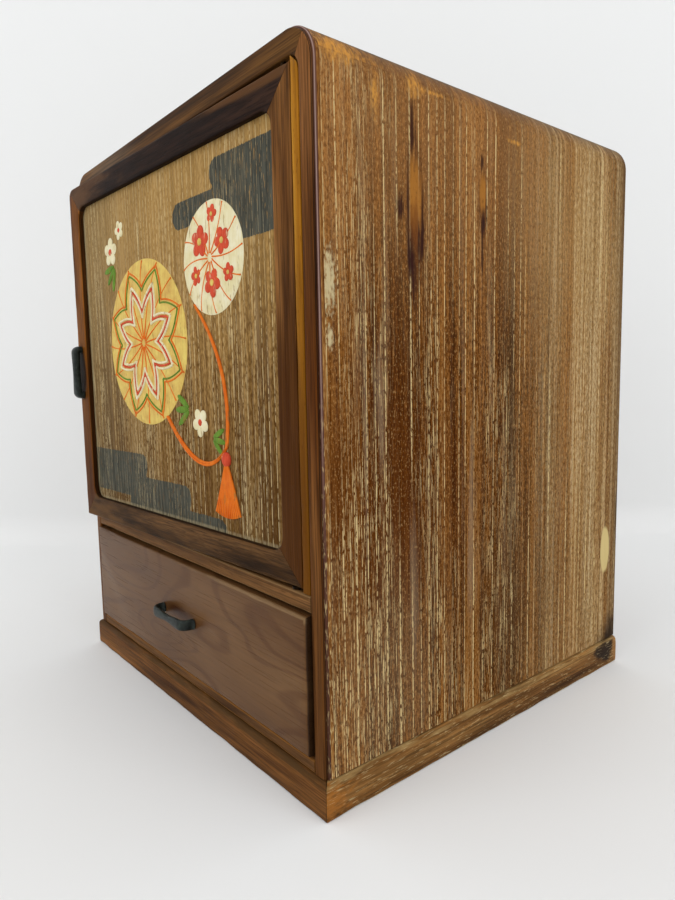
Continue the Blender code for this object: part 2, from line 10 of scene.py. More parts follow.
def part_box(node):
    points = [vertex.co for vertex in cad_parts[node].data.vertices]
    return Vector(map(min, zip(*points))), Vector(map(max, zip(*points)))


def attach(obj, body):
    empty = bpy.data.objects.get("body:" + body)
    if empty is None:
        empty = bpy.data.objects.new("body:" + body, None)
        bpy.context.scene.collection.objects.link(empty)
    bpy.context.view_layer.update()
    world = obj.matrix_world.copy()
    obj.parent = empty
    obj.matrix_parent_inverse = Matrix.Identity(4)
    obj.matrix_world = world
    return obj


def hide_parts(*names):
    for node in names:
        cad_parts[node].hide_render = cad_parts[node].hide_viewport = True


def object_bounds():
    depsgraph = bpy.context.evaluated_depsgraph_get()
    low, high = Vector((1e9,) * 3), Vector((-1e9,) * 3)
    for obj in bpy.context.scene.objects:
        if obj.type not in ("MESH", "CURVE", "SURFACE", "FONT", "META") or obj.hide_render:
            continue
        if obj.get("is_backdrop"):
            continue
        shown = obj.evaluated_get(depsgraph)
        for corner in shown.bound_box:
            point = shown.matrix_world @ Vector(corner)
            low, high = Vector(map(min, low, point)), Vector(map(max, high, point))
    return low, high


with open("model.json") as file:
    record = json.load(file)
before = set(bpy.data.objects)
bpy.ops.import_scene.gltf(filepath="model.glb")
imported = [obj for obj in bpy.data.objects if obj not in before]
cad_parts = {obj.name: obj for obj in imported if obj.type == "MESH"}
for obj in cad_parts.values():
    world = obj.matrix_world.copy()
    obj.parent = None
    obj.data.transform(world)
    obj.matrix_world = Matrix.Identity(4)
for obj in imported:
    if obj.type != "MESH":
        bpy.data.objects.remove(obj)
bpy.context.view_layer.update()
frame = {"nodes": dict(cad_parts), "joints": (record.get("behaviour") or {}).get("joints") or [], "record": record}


# Plinth
# Four low rails of brown-stained wood that the carcass stands on, mitred at the front corners.
# Each is planed and rounded along its top outer edge, where the side rails have rubbed pale.
PLINTH_EDGE_RADIUS = 0.0025
SMALL_ARRIS = 0.0006
MITRE_GAP = 0.0001
WEAR_FADE = 0.0016
SHARP_EDGE = math.radians(38)


def screen_colour(red, green, blue):
    """A colour as it looks on a screen, in the light values that a material takes."""
    shares = [value / 255 for value in (red, green, blue)]
    light = [((share + 0.055) / 1.055) ** 2.4 if share > 0.04045 else share / 12.92 for share in shares]
    return (*light, 1.0)


class Finish:
    """A finish laid on in layers, as one material whose patterns are measured in metres."""

    def __init__(self, name):
        self.material = bpy.data.materials.new(name)
        self.material.use_nodes = True
        self.tree = self.material.node_tree
        self.shader = self.tree.nodes["Principled BSDF"]
        self.place = self.add("ShaderNodeTexCoord").outputs["Object"]
        self.normal = None

    def add(self, kind, inputs=None, **settings):
        node = self.tree.nodes.new(kind)
        for name, value in settings.items():
            setattr(node, name, value)
        for socket, value in (inputs or {}).items():
            self.feed(node.inputs[socket], value)
        return node

    def feed(self, socket, value):
        if isinstance(value, bpy.types.NodeSocket):
            self.tree.links.new(value, socket)
        else:
            socket.default_value = value

    def sums(self, operation, one, two=0.0):
        return self.add("ShaderNodeMath", {0: one, 1: two}, operation=operation).outputs[0]

    def both(self, *masks):
        """Where every mask is on."""
        result = masks[0]
        for mask in masks[1:]:
            result = self.sums("MULTIPLY", result, mask)
        return result

    def either(self, *masks):
        """Where any mask is on."""
        result = masks[0]
        for mask in masks[1:]:
            result = self.sums("MAXIMUM", result, mask)
        return result

    def mix_of(self, *shares):
        """Patterns added up, each times its share."""
        result = 0.0
        for pattern, share in shares:
            result = self.sums("ADD", self.sums("MULTIPLY", pattern, share), result)
        return result

    def mark(self, name):
        """What the mesh says of each of its points under that name."""
        return self.add("ShaderNodeAttribute", attribute_name=name).outputs["Fac"]

    def coordinate(self, letter):
        return self.add("ShaderNodeSeparateXYZ", {0: self.place}).outputs[letter.upper()]

    def pattern(self, cells, detail=2.0, rough=0.5, board=0.0, warp=0.0):
        """Noise with so many cells per metre along X, Y and Z; each board number is another piece of wood."""
        spread = self.add(
            "ShaderNodeMapping", {"Vector": self.place, "Location": (board, board, board), "Scale": cells})
        texture = self.add("ShaderNodeTexNoise", {
            "Vector": spread.outputs[0], "Scale": 1.0, "Detail": detail, "Roughness": rough,
            "Distortion": warp})
        return texture.outputs["Fac"]

    def rings(self, across, cells, wander, board):
        """Growth rings that run with the grain: 1 on a ring's line, 0 midway between two."""
        count = self.add("ShaderNodeVectorMath", {0: self.place, 1: across}, operation="DOT_PRODUCT")
        drift = self.sums("MULTIPLY", self.pattern(cells, 2.0, 0.5, board), wander)
        return self.sums("PINGPONG", self.sums("ADD", count.outputs["Value"], drift), 1.0)

    def rise(self, value, low, high):
        """A soft step: 0 on the low side and 1 on the high side, which may be the smaller number."""
        step = self.add(
            "ShaderNodeMapRange", {"Value": value, "From Min": low, "From Max": high},
            interpolation_type="SMOOTHSTEP")
        return step.outputs["Result"]

    def blend(self, share, under, over, way="MIX"):
        mix = self.add(
            "ShaderNodeMix", {0: share, 6: under, 7: over}, data_type="RGBA", blend_type=way)
        return mix.outputs[2]

    def shades(self, value, *stops):
        """Colours along a value, as pairs of where and which."""
        node = self.add("ShaderNodeValToRGB", {"Fac": value})
        ramp = node.color_ramp
        ramp.elements.remove(ramp.elements[1])
        ramp.elements[0].position, ramp.elements[0].color = stops[0]
        for where, colour in stops[1:]:
            ramp.elements.new(where).color = colour
        return node.outputs["Color"]

    def patch(self, centre, half, ragged=0.5, cells=(300, 300, 60), core=0.6):
        """An oval mark on the wood, ragged at its edge and solid in its core. A half size of 0 runs right through."""
        scale = [1 / size if size else 0.0 for size in half]
        shift = [-middle * size for middle, size in zip(centre, scale)]
        oval = self.add("ShaderNodeMapping", {"Vector": self.place, "Location": shift, "Scale": scale})
        reach = self.add("ShaderNodeVectorMath", {0: oval.outputs[0]}, operation="LENGTH").outputs["Value"]
        tear = self.sums("MULTIPLY", self.pattern(cells, 2.0), ragged * 2)
        return self.rise(self.sums("ADD", reach, tear), 1.0 + ragged, core + ragged)

    def blot(self, under, share, tint, *patch):
        """A colour with one oval mark of another on it."""
        return self.blend(self.both(self.patch(*patch), share), under, tint)

    def emboss(self, height, depth, strength=1.0):
        inputs = {"Height": height, "Distance": depth, "Strength": strength}
        if self.normal:
            inputs["Normal"] = self.normal
        self.normal = self.add("ShaderNodeBump", inputs).outputs["Normal"]

    def lay(self, colour, roughness, gloss=0.03, metal=0.0):
        self.feed(self.shader.inputs["Base Color"], colour)
        self.feed(self.shader.inputs["Roughness"], roughness)
        self.shader.inputs["Specular IOR Level"].default_value = gloss
        self.shader.inputs["Metallic"].default_value = metal
        if self.normal:
            self.feed(self.shader.inputs["Normal"], self.normal)
        return self


def along_grain(axis, across, run):
    """Cells per metre of a pattern that runs along one axis: many across it, few along it."""
    return tuple(run if letter == axis else across for letter in "xyz")


def stained_wood(name, axis, shades, worn, board, rub=(0.6, 0.95), flecked=0.0, blots=()):
    """Planed wood under a brown stain: soft figure, fine fibres, dark pores, edges rubbed bare, painted shade in
    hollows.

    Flecked is the share of pale filler in its pores. A blot is a strength, a colour and a patch."""
    finish = Finish(name)
    figure = finish.pattern(along_grain(axis, 85, 6), 3.0, 0.55, board, 0.7)
    fibre = finish.pattern(along_grain(axis, 1300, 26), 3.0, 0.6, board + 3)
    pores = finish.pattern(along_grain(axis, 2100, 120), 1.0, 0.5, board + 5)
    dark, middle, light = shades
    colour = finish.shades(figure, (0.34, dark), (0.5, middle), (0.66, light))
    colour = finish.blend(0.5, colour, finish.rise(fibre, 0.28, 0.72), "OVERLAY")
    pore = finish.rise(pores, 0.58, 0.68)
    colour = finish.blend(finish.both(pore, 0.45), colour, dark)
    for share, tint, patch in blots:
        colour = finish.blot(colour, share, tint, *patch)
    ragged = finish.pattern(along_grain(axis, 420, 45), 3.0, 0.6, board + 7)
    bare = finish.rise(finish.sums("ADD", finish.mark("wear"), finish.sums("SUBTRACT", ragged, 0.75)), *rub)
    colour = finish.blend(bare, colour, worn)
    # Painted shade: points marked below 0, the door's panel reveals, are painted near black for the shade in the
    # recess.
    sunk = finish.rise(finish.mark("wear"), -0.1, -0.9)
    colour = finish.blend(finish.both(sunk, 0.8), colour, screen_colour(20, 9, 4))
    if flecked:
        flecks = finish.pattern(along_grain(axis, 2000, 160), 2.0, 0.6, board + 9)
        colour = finish.blend(
            finish.both(finish.rise(flecks, 0.60, 0.68), flecked), colour, screen_colour(206, 182, 132))
    finish.emboss(fibre, 0.00005, 0.6)
    finish.emboss(pore, -0.00006, 0.6)
    return finish.lay(colour, finish.mix_of((fibre, 0.25), (1.0, 0.32)))


def section(corners, steps=4, fade=WEAR_FADE):
    """A member's outline as (across, back, wear) points, round at each corner, where wear shows.

    A corner is (across, back, radius). One of no radius stays sharp and unworn."""
    outline = []
    for index, (across, back, radius) in enumerate(corners):
        corner = Vector((across, back))
        before = Vector(corners[index - 1][:2]) - corner
        after = Vector(corners[(index + 1) % len(corners)][:2]) - corner
        if not radius:
            outline.append((across, back, 0.0))
            continue
        inward = before.normalized()
        onward = after.normalized()
        half_angle = inward.angle(onward) / 2
        run = radius / math.tan(half_angle)
        centre = corner + (inward + onward).normalized() * radius / math.sin(half_angle)
        guard = corner + inward * min(run + fade, before.length * 0.45)
        outline.append((guard.x, guard.y, 0.0))
        for step in range(steps + 1):
            share = step / steps
            chord = (corner + inward * run) * (1 - share) + (corner + onward * run) * share
            point = centre + (chord - centre).normalized() * radius
            outline.append((point.x, point.y, 1.0))
        guard = corner + onward * min(run + fade, after.length * 0.45)
        outline.append((guard.x, guard.y, 0.0))
    return outline


def dress(name, mesh, finish):
    """Turn a mesh's faces outwards, smooth its round stretches, and make it a piece with its finish."""
    shape = bmesh.new()
    shape.from_mesh(mesh)
    bmesh.ops.recalc_face_normals(shape, faces=shape.faces)
    shape.to_mesh(mesh)
    shape.free()
    mesh.shade_smooth()
    mesh.set_sharp_from_angle(angle=SHARP_EDGE)
    mesh.materials.append(finish.material)
    piece = bpy.data.objects.new(name, mesh)
    bpy.context.scene.collection.objects.link(piece)
    return piece


def loft(name, rings, marks, finish):
    """One closed piece from rings of points, all of one count, capped at both ends.

    Marks hold a value for every point, ring by ring, under the name that the finish reads."""
    count = len(rings[0])
    faces = []
    for start in range(0, (len(rings) - 1) * count, count):
        for here in range(count):
            after = (here + 1) % count
            faces.append((start + here, start + after, start + count + after, start + count + here))
    faces.append(tuple(range(count)))
    faces.append(tuple(range((len(rings) - 1) * count, len(rings) * count)))
    mesh = bpy.data.meshes.new(name)
    mesh.from_pydata([point for ring in rings for point in ring], [], faces)
    for mark, values in marks.items():
        mesh.attributes.new(mark, "FLOAT", "POINT").data.foreach_set("value", values)
    return dress(name, mesh, finish)


def member(name, outline, place, ends, count, finish):
    """A straight length of one outline. Ends gives where it starts and stops for each place across."""
    rings = []
    for step in range(count + 1):
        share = step / count
        ring = []
        for across, back, _ in outline:
            start, stop = ends(across)
            ring.append(place(start + (stop - start) * share, across, back))
        rings.append(ring)
    wear = [worn for _, _, worn in outline]
    return loft(name, rings, {"wear": wear * len(rings)}, finish)


def weather(piece, depth, size, board):
    """Wear a piece's exposed edges down by uneven amounts, as years of handling do."""
    mesh = piece.data
    normals = [vertex.normal.copy() for vertex in mesh.vertices]
    shift = Vector((board, board, board))
    for vertex, normal, mark in zip(mesh.vertices, normals, mesh.attributes["wear"].data):
        bite = 0.5 + 0.5 * noise.noise(vertex.co / size + shift)
        vertex.co -= normal * depth * max(0.0, mark.value) * bite * bite
    mesh.update()


node_body = {
    node: body for body, members in frame["record"]["behaviour"]["bodies"].items() for node in members}


def stand_for(piece, node):
    """Let a piece take the place of a node: it rides on the same body."""
    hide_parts(node)
    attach(piece, node_body[node])


plinth_shades = (screen_colour(66, 38, 16), screen_colour(107, 69, 33), screen_colour(134, 90, 47))
plinth_side_shades = (screen_colour(68, 42, 18), screen_colour(112, 76, 38), screen_colour(142, 104, 58))
front_low, front_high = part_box("plinth_front")
side_low, side_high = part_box("plinth_right")
plinth_half = side_high.x
plinth_front = front_low.y
plinth_back = side_high.y
plinth_height = side_high.z
plinth_thick = side_high.x - side_low.x
plinth_outline = section([
    (0.0, 0.0, SMALL_ARRIS), (0.0, plinth_height, PLINTH_EDGE_RADIUS),
    (plinth_thick, plinth_height, SMALL_ARRIS), (plinth_thick, 0.0, SMALL_ARRIS)])
# The front rail's edge colour is darker than its wood: painted shade on its rounded edges, the top one most.
finish = stained_wood("plinth_front_finish", "x", plinth_shades, screen_colour(80, 56, 30), 11.0, (0.4, 0.9))
piece = member(
    "plinth_front_wood", plinth_outline,
    lambda along, across, up: Vector((along, plinth_front + across, up)),
    lambda across: (across + MITRE_GAP - plinth_half, plinth_half - across - MITRE_GAP), 60, finish)
weather(piece, 0.0006, 0.012, 11.0)
stand_for(piece, "plinth_front")
rubbed_corner = ((0, plinth_front, 0.007), (0, 0.020, 0.012), 0.9, (300, 300, 700), 0.0)
damp_stain = ((0, plinth_back - 0.012, 0.012), (0, 0.012, 0.010), 0.7, (90, 90, 160))
chipped_end = ((0, plinth_back, 0.008), (0, 0.006, 0.009), 0.4, (150, 150, 150))
finish = stained_wood(
    "plinth_side_finish", "y", plinth_side_shades, screen_colour(154, 124, 78), 12.0, (0.62, 0.95), flecked=0.5,
    blots=((0.7, screen_colour(168, 106, 44), rubbed_corner), (0.9, screen_colour(30, 24, 20), damp_stain),
           (0.8, screen_colour(150, 106, 60), chipped_end)))
for name, sign in (("plinth_right", 1), ("plinth_left", -1)):
    piece = member(
        name + "_wood", plinth_outline,
        lambda along, across, up: Vector((sign * (plinth_half - across), along, up)),
        lambda across: (plinth_front + across + MITRE_GAP, plinth_back), 60, finish)
    weather(piece, 0.0006, 0.012, 12.0 + sign)
    stand_for(piece, name)
back_low, back_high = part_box("plinth_back")
finish = stained_wood("plinth_back_finish", "x", plinth_shades, screen_colour(140, 112, 70), 13.0)
piece = member(
    "plinth_back_wood", plinth_outline,
    lambda along, across, up: Vector((along, back_high.y - across, up)),
    lambda across: (back_low.x, back_high.x), 40, finish)
stand_for(piece, "plinth_back")


# Inner boards
# The bottom, the divider over the drawer, the shelf on its two cleats and the door's stop block.
# Bare light wood, planed and left unfinished, glued and pegged between the sides.
def bare_wood(name, axis, board):
    """Unfinished wood, gone yellow with age, with faint rings, fine fibres and a few brown specks."""
    finish = Finish(name)
    rings = finish.pattern(along_grain(axis, 190, 5), 2.0, 0.5, board, 0.4)
    fibre = finish.pattern(along_grain(axis, 1500, 24), 3.0, 0.6, board + 2)
    specks = finish.pattern(along_grain(axis, 700, 240), 1.0, 0.5, board + 4)
    stain = finish.pattern((14, 14, 14), 3.0, 0.6, board + 6)
    colour = finish.shades(
        rings, (0.3, screen_colour(158, 124, 82)), (0.5, screen_colour(190, 158, 112)),
        (0.7, screen_colour(208, 180, 136)))
    colour = finish.blend(0.6, colour, fibre, "OVERLAY")
    colour = finish.blend(
        finish.both(finish.rise(specks, 0.70, 0.76), 0.6), colour, screen_colour(112, 78, 44))
    colour = finish.blend(finish.both(finish.rise(stain, 0.5, 0.8), 0.5), colour, screen_colour(140, 104, 66))
    finish.emboss(fibre, 0.00006, 0.6)
    finish.emboss(rings, 0.0001, 0.5)
    return finish.lay(colour, finish.sums("ADD", finish.sums("MULTIPLY", fibre, 0.25), 0.6))


inner_boards = ("bottom_board", "divider_board", "shelf", "door_stop")
for number, node in enumerate(inner_boards):
    frame["nodes"][node].material_slots[0].material = bare_wood(node + "_finish", "x", 21.0 + number).material
for number, node in enumerate(("shelf_cleat_left", "shelf_cleat_right")):
    frame["nodes"][node].material_slots[0].material = bare_wood(node + "_finish", "y", 27.0 + number).material


# Side boards
# Two upright boards of a light, soft wood, browned and then brushed along the grain.
# The brush sinks the rings' soft lines, and pale filler stays in the hollows as dotted lines.
SHOULDER_RADIUS = 0.015
BRUSHED_DEPTH = 0.00022
SEAM = 0.00005
SIDE_RING_GAP = 0.0058
RING_WANDER = 9.0
side_across = (0.0, 2 / SIDE_RING_GAP, 0.0)
side_cells = (8.0, 30.0, 0.45)
facing_low, facing_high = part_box("facing_stile_right")
board_low, board_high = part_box("side_right")
crown_low, crown_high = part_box("top_board")
half_width = facing_high.x
inner_half = board_low.x
front_y = facing_low.y
board_front = facing_high.y + SEAM
back_y = board_high.y
ceiling = crown_low.z
cabinet_top = crown_high.z
shoulder_x = half_width - SHOULDER_RADIUS
shoulder_z = cabinet_top - SHOULDER_RADIUS


def node_tree(name, *sockets):
    """An empty tree with named inputs, and one way to add a node with its inputs set."""
    tree = bpy.data.node_groups.new(name, "GeometryNodeTree")
    tree.interface.new_socket("Geometry", in_out="OUTPUT", socket_type="NodeSocketGeometry")
    for label, kind in (("Geometry", "Geometry"), *sockets, ("Finish", "Material")):
        tree.interface.new_socket(label, in_out="INPUT", socket_type="NodeSocket" + kind)
    source = tree.nodes.new("NodeGroupInput")

    def add(kind, inputs=None, **settings):
        node = tree.nodes.new(kind)
        for setting, value in settings.items():
            setattr(node, setting, value)
        for socket, value in (inputs or {}).items():
            if isinstance(value, bpy.types.NodeSocket):
                tree.links.new(value, node.inputs[socket])
            else:
                node.inputs[socket].default_value = value
        return node

    return tree, source.outputs, add


def close_tree(add, geometry, given):
    """Make instances real and set the finish, which ends every tree."""
    real = add("GeometryNodeRealizeInstances", {"Geometry": geometry}).outputs[0]
    done = add("GeometryNodeSetMaterial", {"Geometry": real, "Material": given["Finish"]}).outputs[0]
    add("NodeGroupOutput", {"Geometry": done})


def grow(piece, tree, finish, values):
    """Run a tree on a piece with its inputs set, and keep what it makes as the piece's plain mesh."""
    modifier = piece.modifiers.new(tree.name, "NODES")
    modifier.node_group = tree
    for socket in tree.interface.items_tree:
        if socket.in_out == "INPUT" and socket.name in values:
            modifier[socket.identifier] = values[socket.name]
        elif socket.in_out == "INPUT" and socket.name == "Finish":
            modifier[socket.identifier] = finish.material
    result = piece.evaluated_get(bpy.context.evaluated_depsgraph_get())
    mesh = bpy.data.meshes.new_from_object(result)
    piece.modifiers.clear()
    piece.data = mesh
    return piece


brushed, given, add = node_tree(
    "brushed_grain", ("Across", "Vector"), ("Cells", "Vector"), ("Wander", "Float"), ("Board", "Float"),
    ("Depth", "Float"), ("Outwards", "Vector"))
place = add("GeometryNodeInputPosition").outputs[0]
count = add("ShaderNodeVectorMath", {0: place, 1: given["Across"]}, operation="DOT_PRODUCT")
spread = add("ShaderNodeVectorMath", {
    0: place, 1: given["Cells"], 2: given["Board"]}, operation="MULTIPLY_ADD")
drift = add("ShaderNodeTexNoise", {
    "Vector": spread.outputs[0], "Scale": 1.0, "Detail": 2.0, "Roughness": 0.5, "Distortion": 0.0})
count = add("ShaderNodeMath", {
    0: drift.outputs[0], 1: given["Wander"], 2: count.outputs["Value"]}, operation="MULTIPLY_ADD")
ring = add("ShaderNodeMath", {0: count.outputs[0], 1: 1.0}, operation="PINGPONG")
height = add("ShaderNodeMapRange", {
    "Value": ring.outputs[0], "From Min": 0.5, "From Max": 0.95, "To Min": 0.0, "To Max": -1.0})
raised = add("GeometryNodeInputNamedAttribute", {"Name": "raised"}, data_type="FLOAT")
sunk = add("ShaderNodeMath", {0: height.outputs[0], 1: raised.outputs[0]}, operation="MULTIPLY")
sunk = add("ShaderNodeMath", {0: sunk.outputs[0], 1: given["Depth"]}, operation="MULTIPLY")
offset = add("ShaderNodeVectorMath", {0: given["Outwards"], "Scale": sunk.outputs[0]}, operation="SCALE")
moved = add("GeometryNodeSetPosition", {"Geometry": given["Geometry"], "Offset": offset.outputs[0]})
close_tree(add, moved.outputs[0], given)


def upright(letter, rate, run):
    """Cells per metre of a pattern on an upright board, across along one letter's axis and up along Z."""
    return tuple(run if axis == "z" else rate if axis == letter else 8.0 for axis in "xyz")


def brushed_wood(name, letter, across, cells, board, shades, richer=None):
    """Browned wood brushed along its upright grain, and where pale filler lies in its hollows.

    Richer says, from the finish, where more of the filler has stayed."""
    finish = Finish(name)
    ring = finish.rings(across, cells, RING_WANDER, board)
    bands = finish.pattern(upright(letter, 36, 0.9), 2.0, 0.5, board + 1)
    streaks = finish.pattern(upright(letter, 300, 4.0), 3.0, 0.6, board + 2)
    fibre = finish.pattern(upright(letter, 1900, 45), 2.0, 0.6, board + 3)
    rays = finish.pattern(upright(letter, 1000, 380), 2.0, 0.6, board + 4)
    dashes = finish.pattern(upright(letter, 2000, 50), 2.0, 0.6, board + 5)
    patches = finish.pattern(upright(letter, 120, 6.0), 2.0, 0.6, board + 7)
    fields = finish.pattern(upright(letter, 55, 5.0), 3.0, 0.6, board + 8)
    bloom = finish.pattern(upright(letter, 150, 7.0), 3.0, 0.6, board + 10)
    tone = finish.mix_of((bands, 0.42), (streaks, 0.38), (fibre, 0.34), (rays, 0.34))
    dark, middle, light = shades
    colour = finish.shades(tone, (0.655, dark), (0.74, middle), (0.825, light))
    colour = finish.blend(finish.both(finish.rise(bloom, 0.54, 0.70), 0.30), colour, screen_colour(158, 134, 102))
    more = richer(finish) if richer else 0.0
    lines = finish.both(
        finish.rise(ring, 0.87, 0.96), finish.rise(finish.sums("ADD", patches, more), 0.38, 0.56),
        finish.rise(rays, 0.38, 0.52), 0.95)
    short_lines = finish.both(
        finish.rise(dashes, 0.54, 0.62), finish.rise(finish.sums("ADD", fields, more), 0.46, 0.66),
        finish.rise(rays, 0.35, 0.49), 0.86)
    filler = finish.either(lines, short_lines)
    finish.emboss(ring, -0.0002, 0.5)
    finish.emboss(fibre, 0.0001, 0.5)
    finish.emboss(rays, 0.00007, 0.4)
    return finish, colour, filler


side_shades = (screen_colour(54, 25, 3), screen_colour(103, 59, 16), screen_colour(152, 100, 44))
filler_colour = screen_colour(212, 187, 134)


def behind_front(distance):
    return front_y + distance


def upright_mark(distance, z, half_y, half_z, ragged=0.5, cells=(8, 520, 40), core=0.6):
    """A patch on a side board, from its distance behind the front and its height."""
    return (0, behind_front(distance), z), (0, half_y, half_z), ragged, cells, core


def side_wood(name, board):
    """The sides' own wood: paler towards the back, painted lighter and warmer at the top for the light from above, with
    grey bloom and pale filler.
    """

    def where_filled(finish):
        y, z = finish.coordinate("y"), finish.coordinate("z")
        return finish.mix_of(
            (finish.rise(y, behind_front(0.06), behind_front(0.0)), 0.07), (finish.rise(z, 0.13, 0.04), 0.08),
            (finish.rise(y, behind_front(0.10), behind_front(0.16)), -0.12),
            (finish.patch(*upright_mark(0.015, 0.155, 0.05, 0.06, 0.3, (8, 90, 8), 0.0)), -0.07),
            (finish.patch(*upright_mark(0.022, 0.075, 0.016, 0.07, 0.6, (8, 200, 20), 0.0)), 0.10),
            (finish.patch(*upright_mark(0.0175, 0.080, 0.0040, 0.050, 0.6, (8, 500, 30), 0.0)), 0.22))

    finish, colour, filler = brushed_wood(name, "y", side_across, side_cells, board, side_shades, where_filled)
    up = finish.coordinate("z")
    back = finish.rise(finish.coordinate("y"), behind_front(0.10), behind_front(0.19))
    wide_bands = finish.pattern(upright("y", 70, 1.6), 3.0, 0.6, board + 9)
    hatch = finish.pattern(upright("y", 800, 330), 2.0, 0.6, board + 12)
    stripes = finish.pattern(upright("y", 520, 5.0), 3.0, 0.65, board + 13)
    pale = finish.shades(
        finish.mix_of((hatch, 0.35), (stripes, 0.5), (wide_bands, 0.15)), (0.40, screen_colour(108, 72, 36)),
        (0.5, screen_colour(162, 129, 82)), (0.60, screen_colour(212, 187, 142)))
    colour = finish.blend(finish.both(back, finish.rise(wide_bands, 0.16, 0.60), 0.8), colour, pale)
    # Painted light: the upper front of each side is painted lighter and warmer, standing in for the light from above.
    painted_top_light = finish.both(finish.rise(up, 0.17, 0.28), finish.sums("SUBTRACT", 1.0, back), 0.42)
    colour = finish.blend(painted_top_light, colour, screen_colour(172, 122, 72))
    aged = finish.patch(*upright_mark(0.02, 0.125, 0.12, 0.12, 0.3, (8, 60, 3), 0.0))
    colour = finish.blend(finish.both(aged, 0.72), colour, screen_colour(82, 38, 2))
    for share, tint, distance, z, half_y, half_z in (
            (0.20, screen_colour(158, 134, 102), 0.032, 0.045, 0.060, 0.075),
            (0.22, screen_colour(190, 158, 104), 0.175, 0.245, 0.080, 0.080),
            (0.50, screen_colour(72, 42, 14), 0.110, 0.060, 0.060, 0.080)):
        colour = finish.blot(colour, share, tint, *upright_mark(distance, z, half_y, half_z, 0.4, (8, 70, 10), 0.0))
    specks = finish.pattern(upright("y", 1300, 650), 2.0, 0.6, board + 14)
    colour = finish.blend(
        finish.both(finish.rise(specks, 0.57, 0.67), 0.42), colour, screen_colour(192, 154, 98))
    colour = finish.blend(finish.both(finish.rise(specks, 0.45, 0.36), 0.45), colour, screen_colour(58, 32, 12))
    back_edge = finish.rise(finish.coordinate("y"), back_y - 0.012, back_y)
    shoulder = finish.both(finish.rise(up, 0.286, 0.297), finish.rise(stripes, 0.74, 0.44))
    colour = finish.blend(finish.both(finish.either(back_edge, shoulder), 0.66), colour, screen_colour(92, 68, 44))
    for distance, z, half_y, half_z in (
            (0.023, 0.165, 0.0020, 0.060), (0.031, 0.165, 0.0045, 0.035), (0.050, 0.078, 0.0035, 0.050),
            (0.088, 0.100, 0.0045, 0.065)):
        colour = finish.blot(
            colour, 0.35, screen_colour(150, 132, 108), *upright_mark(distance, z, half_y, half_z, 0.9, (8, 420, 16), 0.0))
    below_shoulder = finish.rise(up, 0.294, 0.280)
    return finish, finish.blend(finish.both(filler, below_shoulder), colour, filler_colour)


def side_marks(finish, colour):
    """The right side's own marks: two pitch streaks, orange rubs, a damp stain and spots of bare wood."""
    hatch = finish.pattern(upright("y", 800, 330), 2.0, 0.6, 43.0)
    for distance, z, half_y, half_z in ((0.0518, 0.2375, 0.0058, 0.0330), (0.0952, 0.2490, 0.0034, 0.0190)):
        colour = finish.blot(
            colour, 0.6, screen_colour(76, 42, 22), *upright_mark(distance, z, half_y, half_z, 0.7, (8, 600, 36)))
    for distance, z, half_y, half_z in ((0.0520, 0.2450, 0.0050, 0.0200), (0.0952, 0.2535, 0.0032, 0.0100)):
        heart = finish.patch(*upright_mark(distance, z, half_y, half_z, 0.55, (8, 480, 36), 0.4))
        colour = finish.blend(
            finish.both(heart, finish.rise(hatch, 0.1, 0.5), 0.9), colour, screen_colour(164, 108, 44))
    colour = finish.blot(
        colour, 0.65, screen_colour(104, 56, 24), *upright_mark(0.0520, 0.233, 0.0046, 0.012, 0.9, (8, 560, 40), 0.1))
    for distance, z, half_y, half_z in (
            (0.0508, 0.2720, 0.0020, 0.0160), (0.0478, 0.2380, 0.0012, 0.0240), (0.0562, 0.2360, 0.0013, 0.0200),
            (0.0553, 0.2260, 0.0032, 0.0100), (0.0490, 0.2220, 0.0022, 0.0120), (0.0508, 0.2130, 0.0021, 0.0180),
            (0.0436, 0.2405, 0.0026, 0.0075),
            (0.0948, 0.2665, 0.0016, 0.0060), (0.0980, 0.2440, 0.0008, 0.0100), (0.0955, 0.2395, 0.0024, 0.0070),
            (0.0950, 0.2275, 0.0010, 0.0120)):
        colour = finish.blot(
            colour, 0.9, screen_colour(50, 26, 22), *upright_mark(distance, z, half_y, half_z, 0.95, (8, 800, 70), 0.2))
    for distance, z, half_y, half_z in (
            (0.012, 0.2905, 0.016, 0.0060), (0.030, 0.2790, 0.0030, 0.0110), (0.0520, 0.2880, 0.0060, 0.0070),
            (0.0645, 0.2876, 0.0110, 0.0012), (0.1182, 0.2795, 0.0080, 0.0014)):
        rub = finish.patch(*upright_mark(distance, z, half_y, half_z, 1.0, (200, 700, 260), 0.0))
        colour = finish.blend(
            finish.both(rub, finish.rise(hatch, 0.32, 0.58), 0.85), colour, screen_colour(206, 146, 66))
    colour = finish.blot(
        colour, 0.92, screen_colour(36, 26, 20), *upright_mark(0.217, 0.012, 0.018, 0.026, 0.5, (60, 90, 70), 0.3))
    colour = finish.blot(
        colour, 0.7, screen_colour(52, 36, 24), *upright_mark(0.222, 0.090, 0.0035, 0.030, 0.6, (60, 120, 50), 0.0))
    colour = finish.blot(
        colour, 1.0, screen_colour(206, 184, 126), *upright_mark(0.2095, 0.070, 0.0054, 0.0148, 0.2, (90, 120, 60), 0.8))
    for distance, z, half_y, half_z in ((0.0062, 0.209, 0.0042, 0.015), (0.0062, 0.188, 0.0020, 0.006)):
        colour = finish.blot(
            colour, 0.8, screen_colour(208, 192, 148), *upright_mark(distance, z, half_y, half_z, 1.0, (500, 900, 420), 0.2))
    return colour


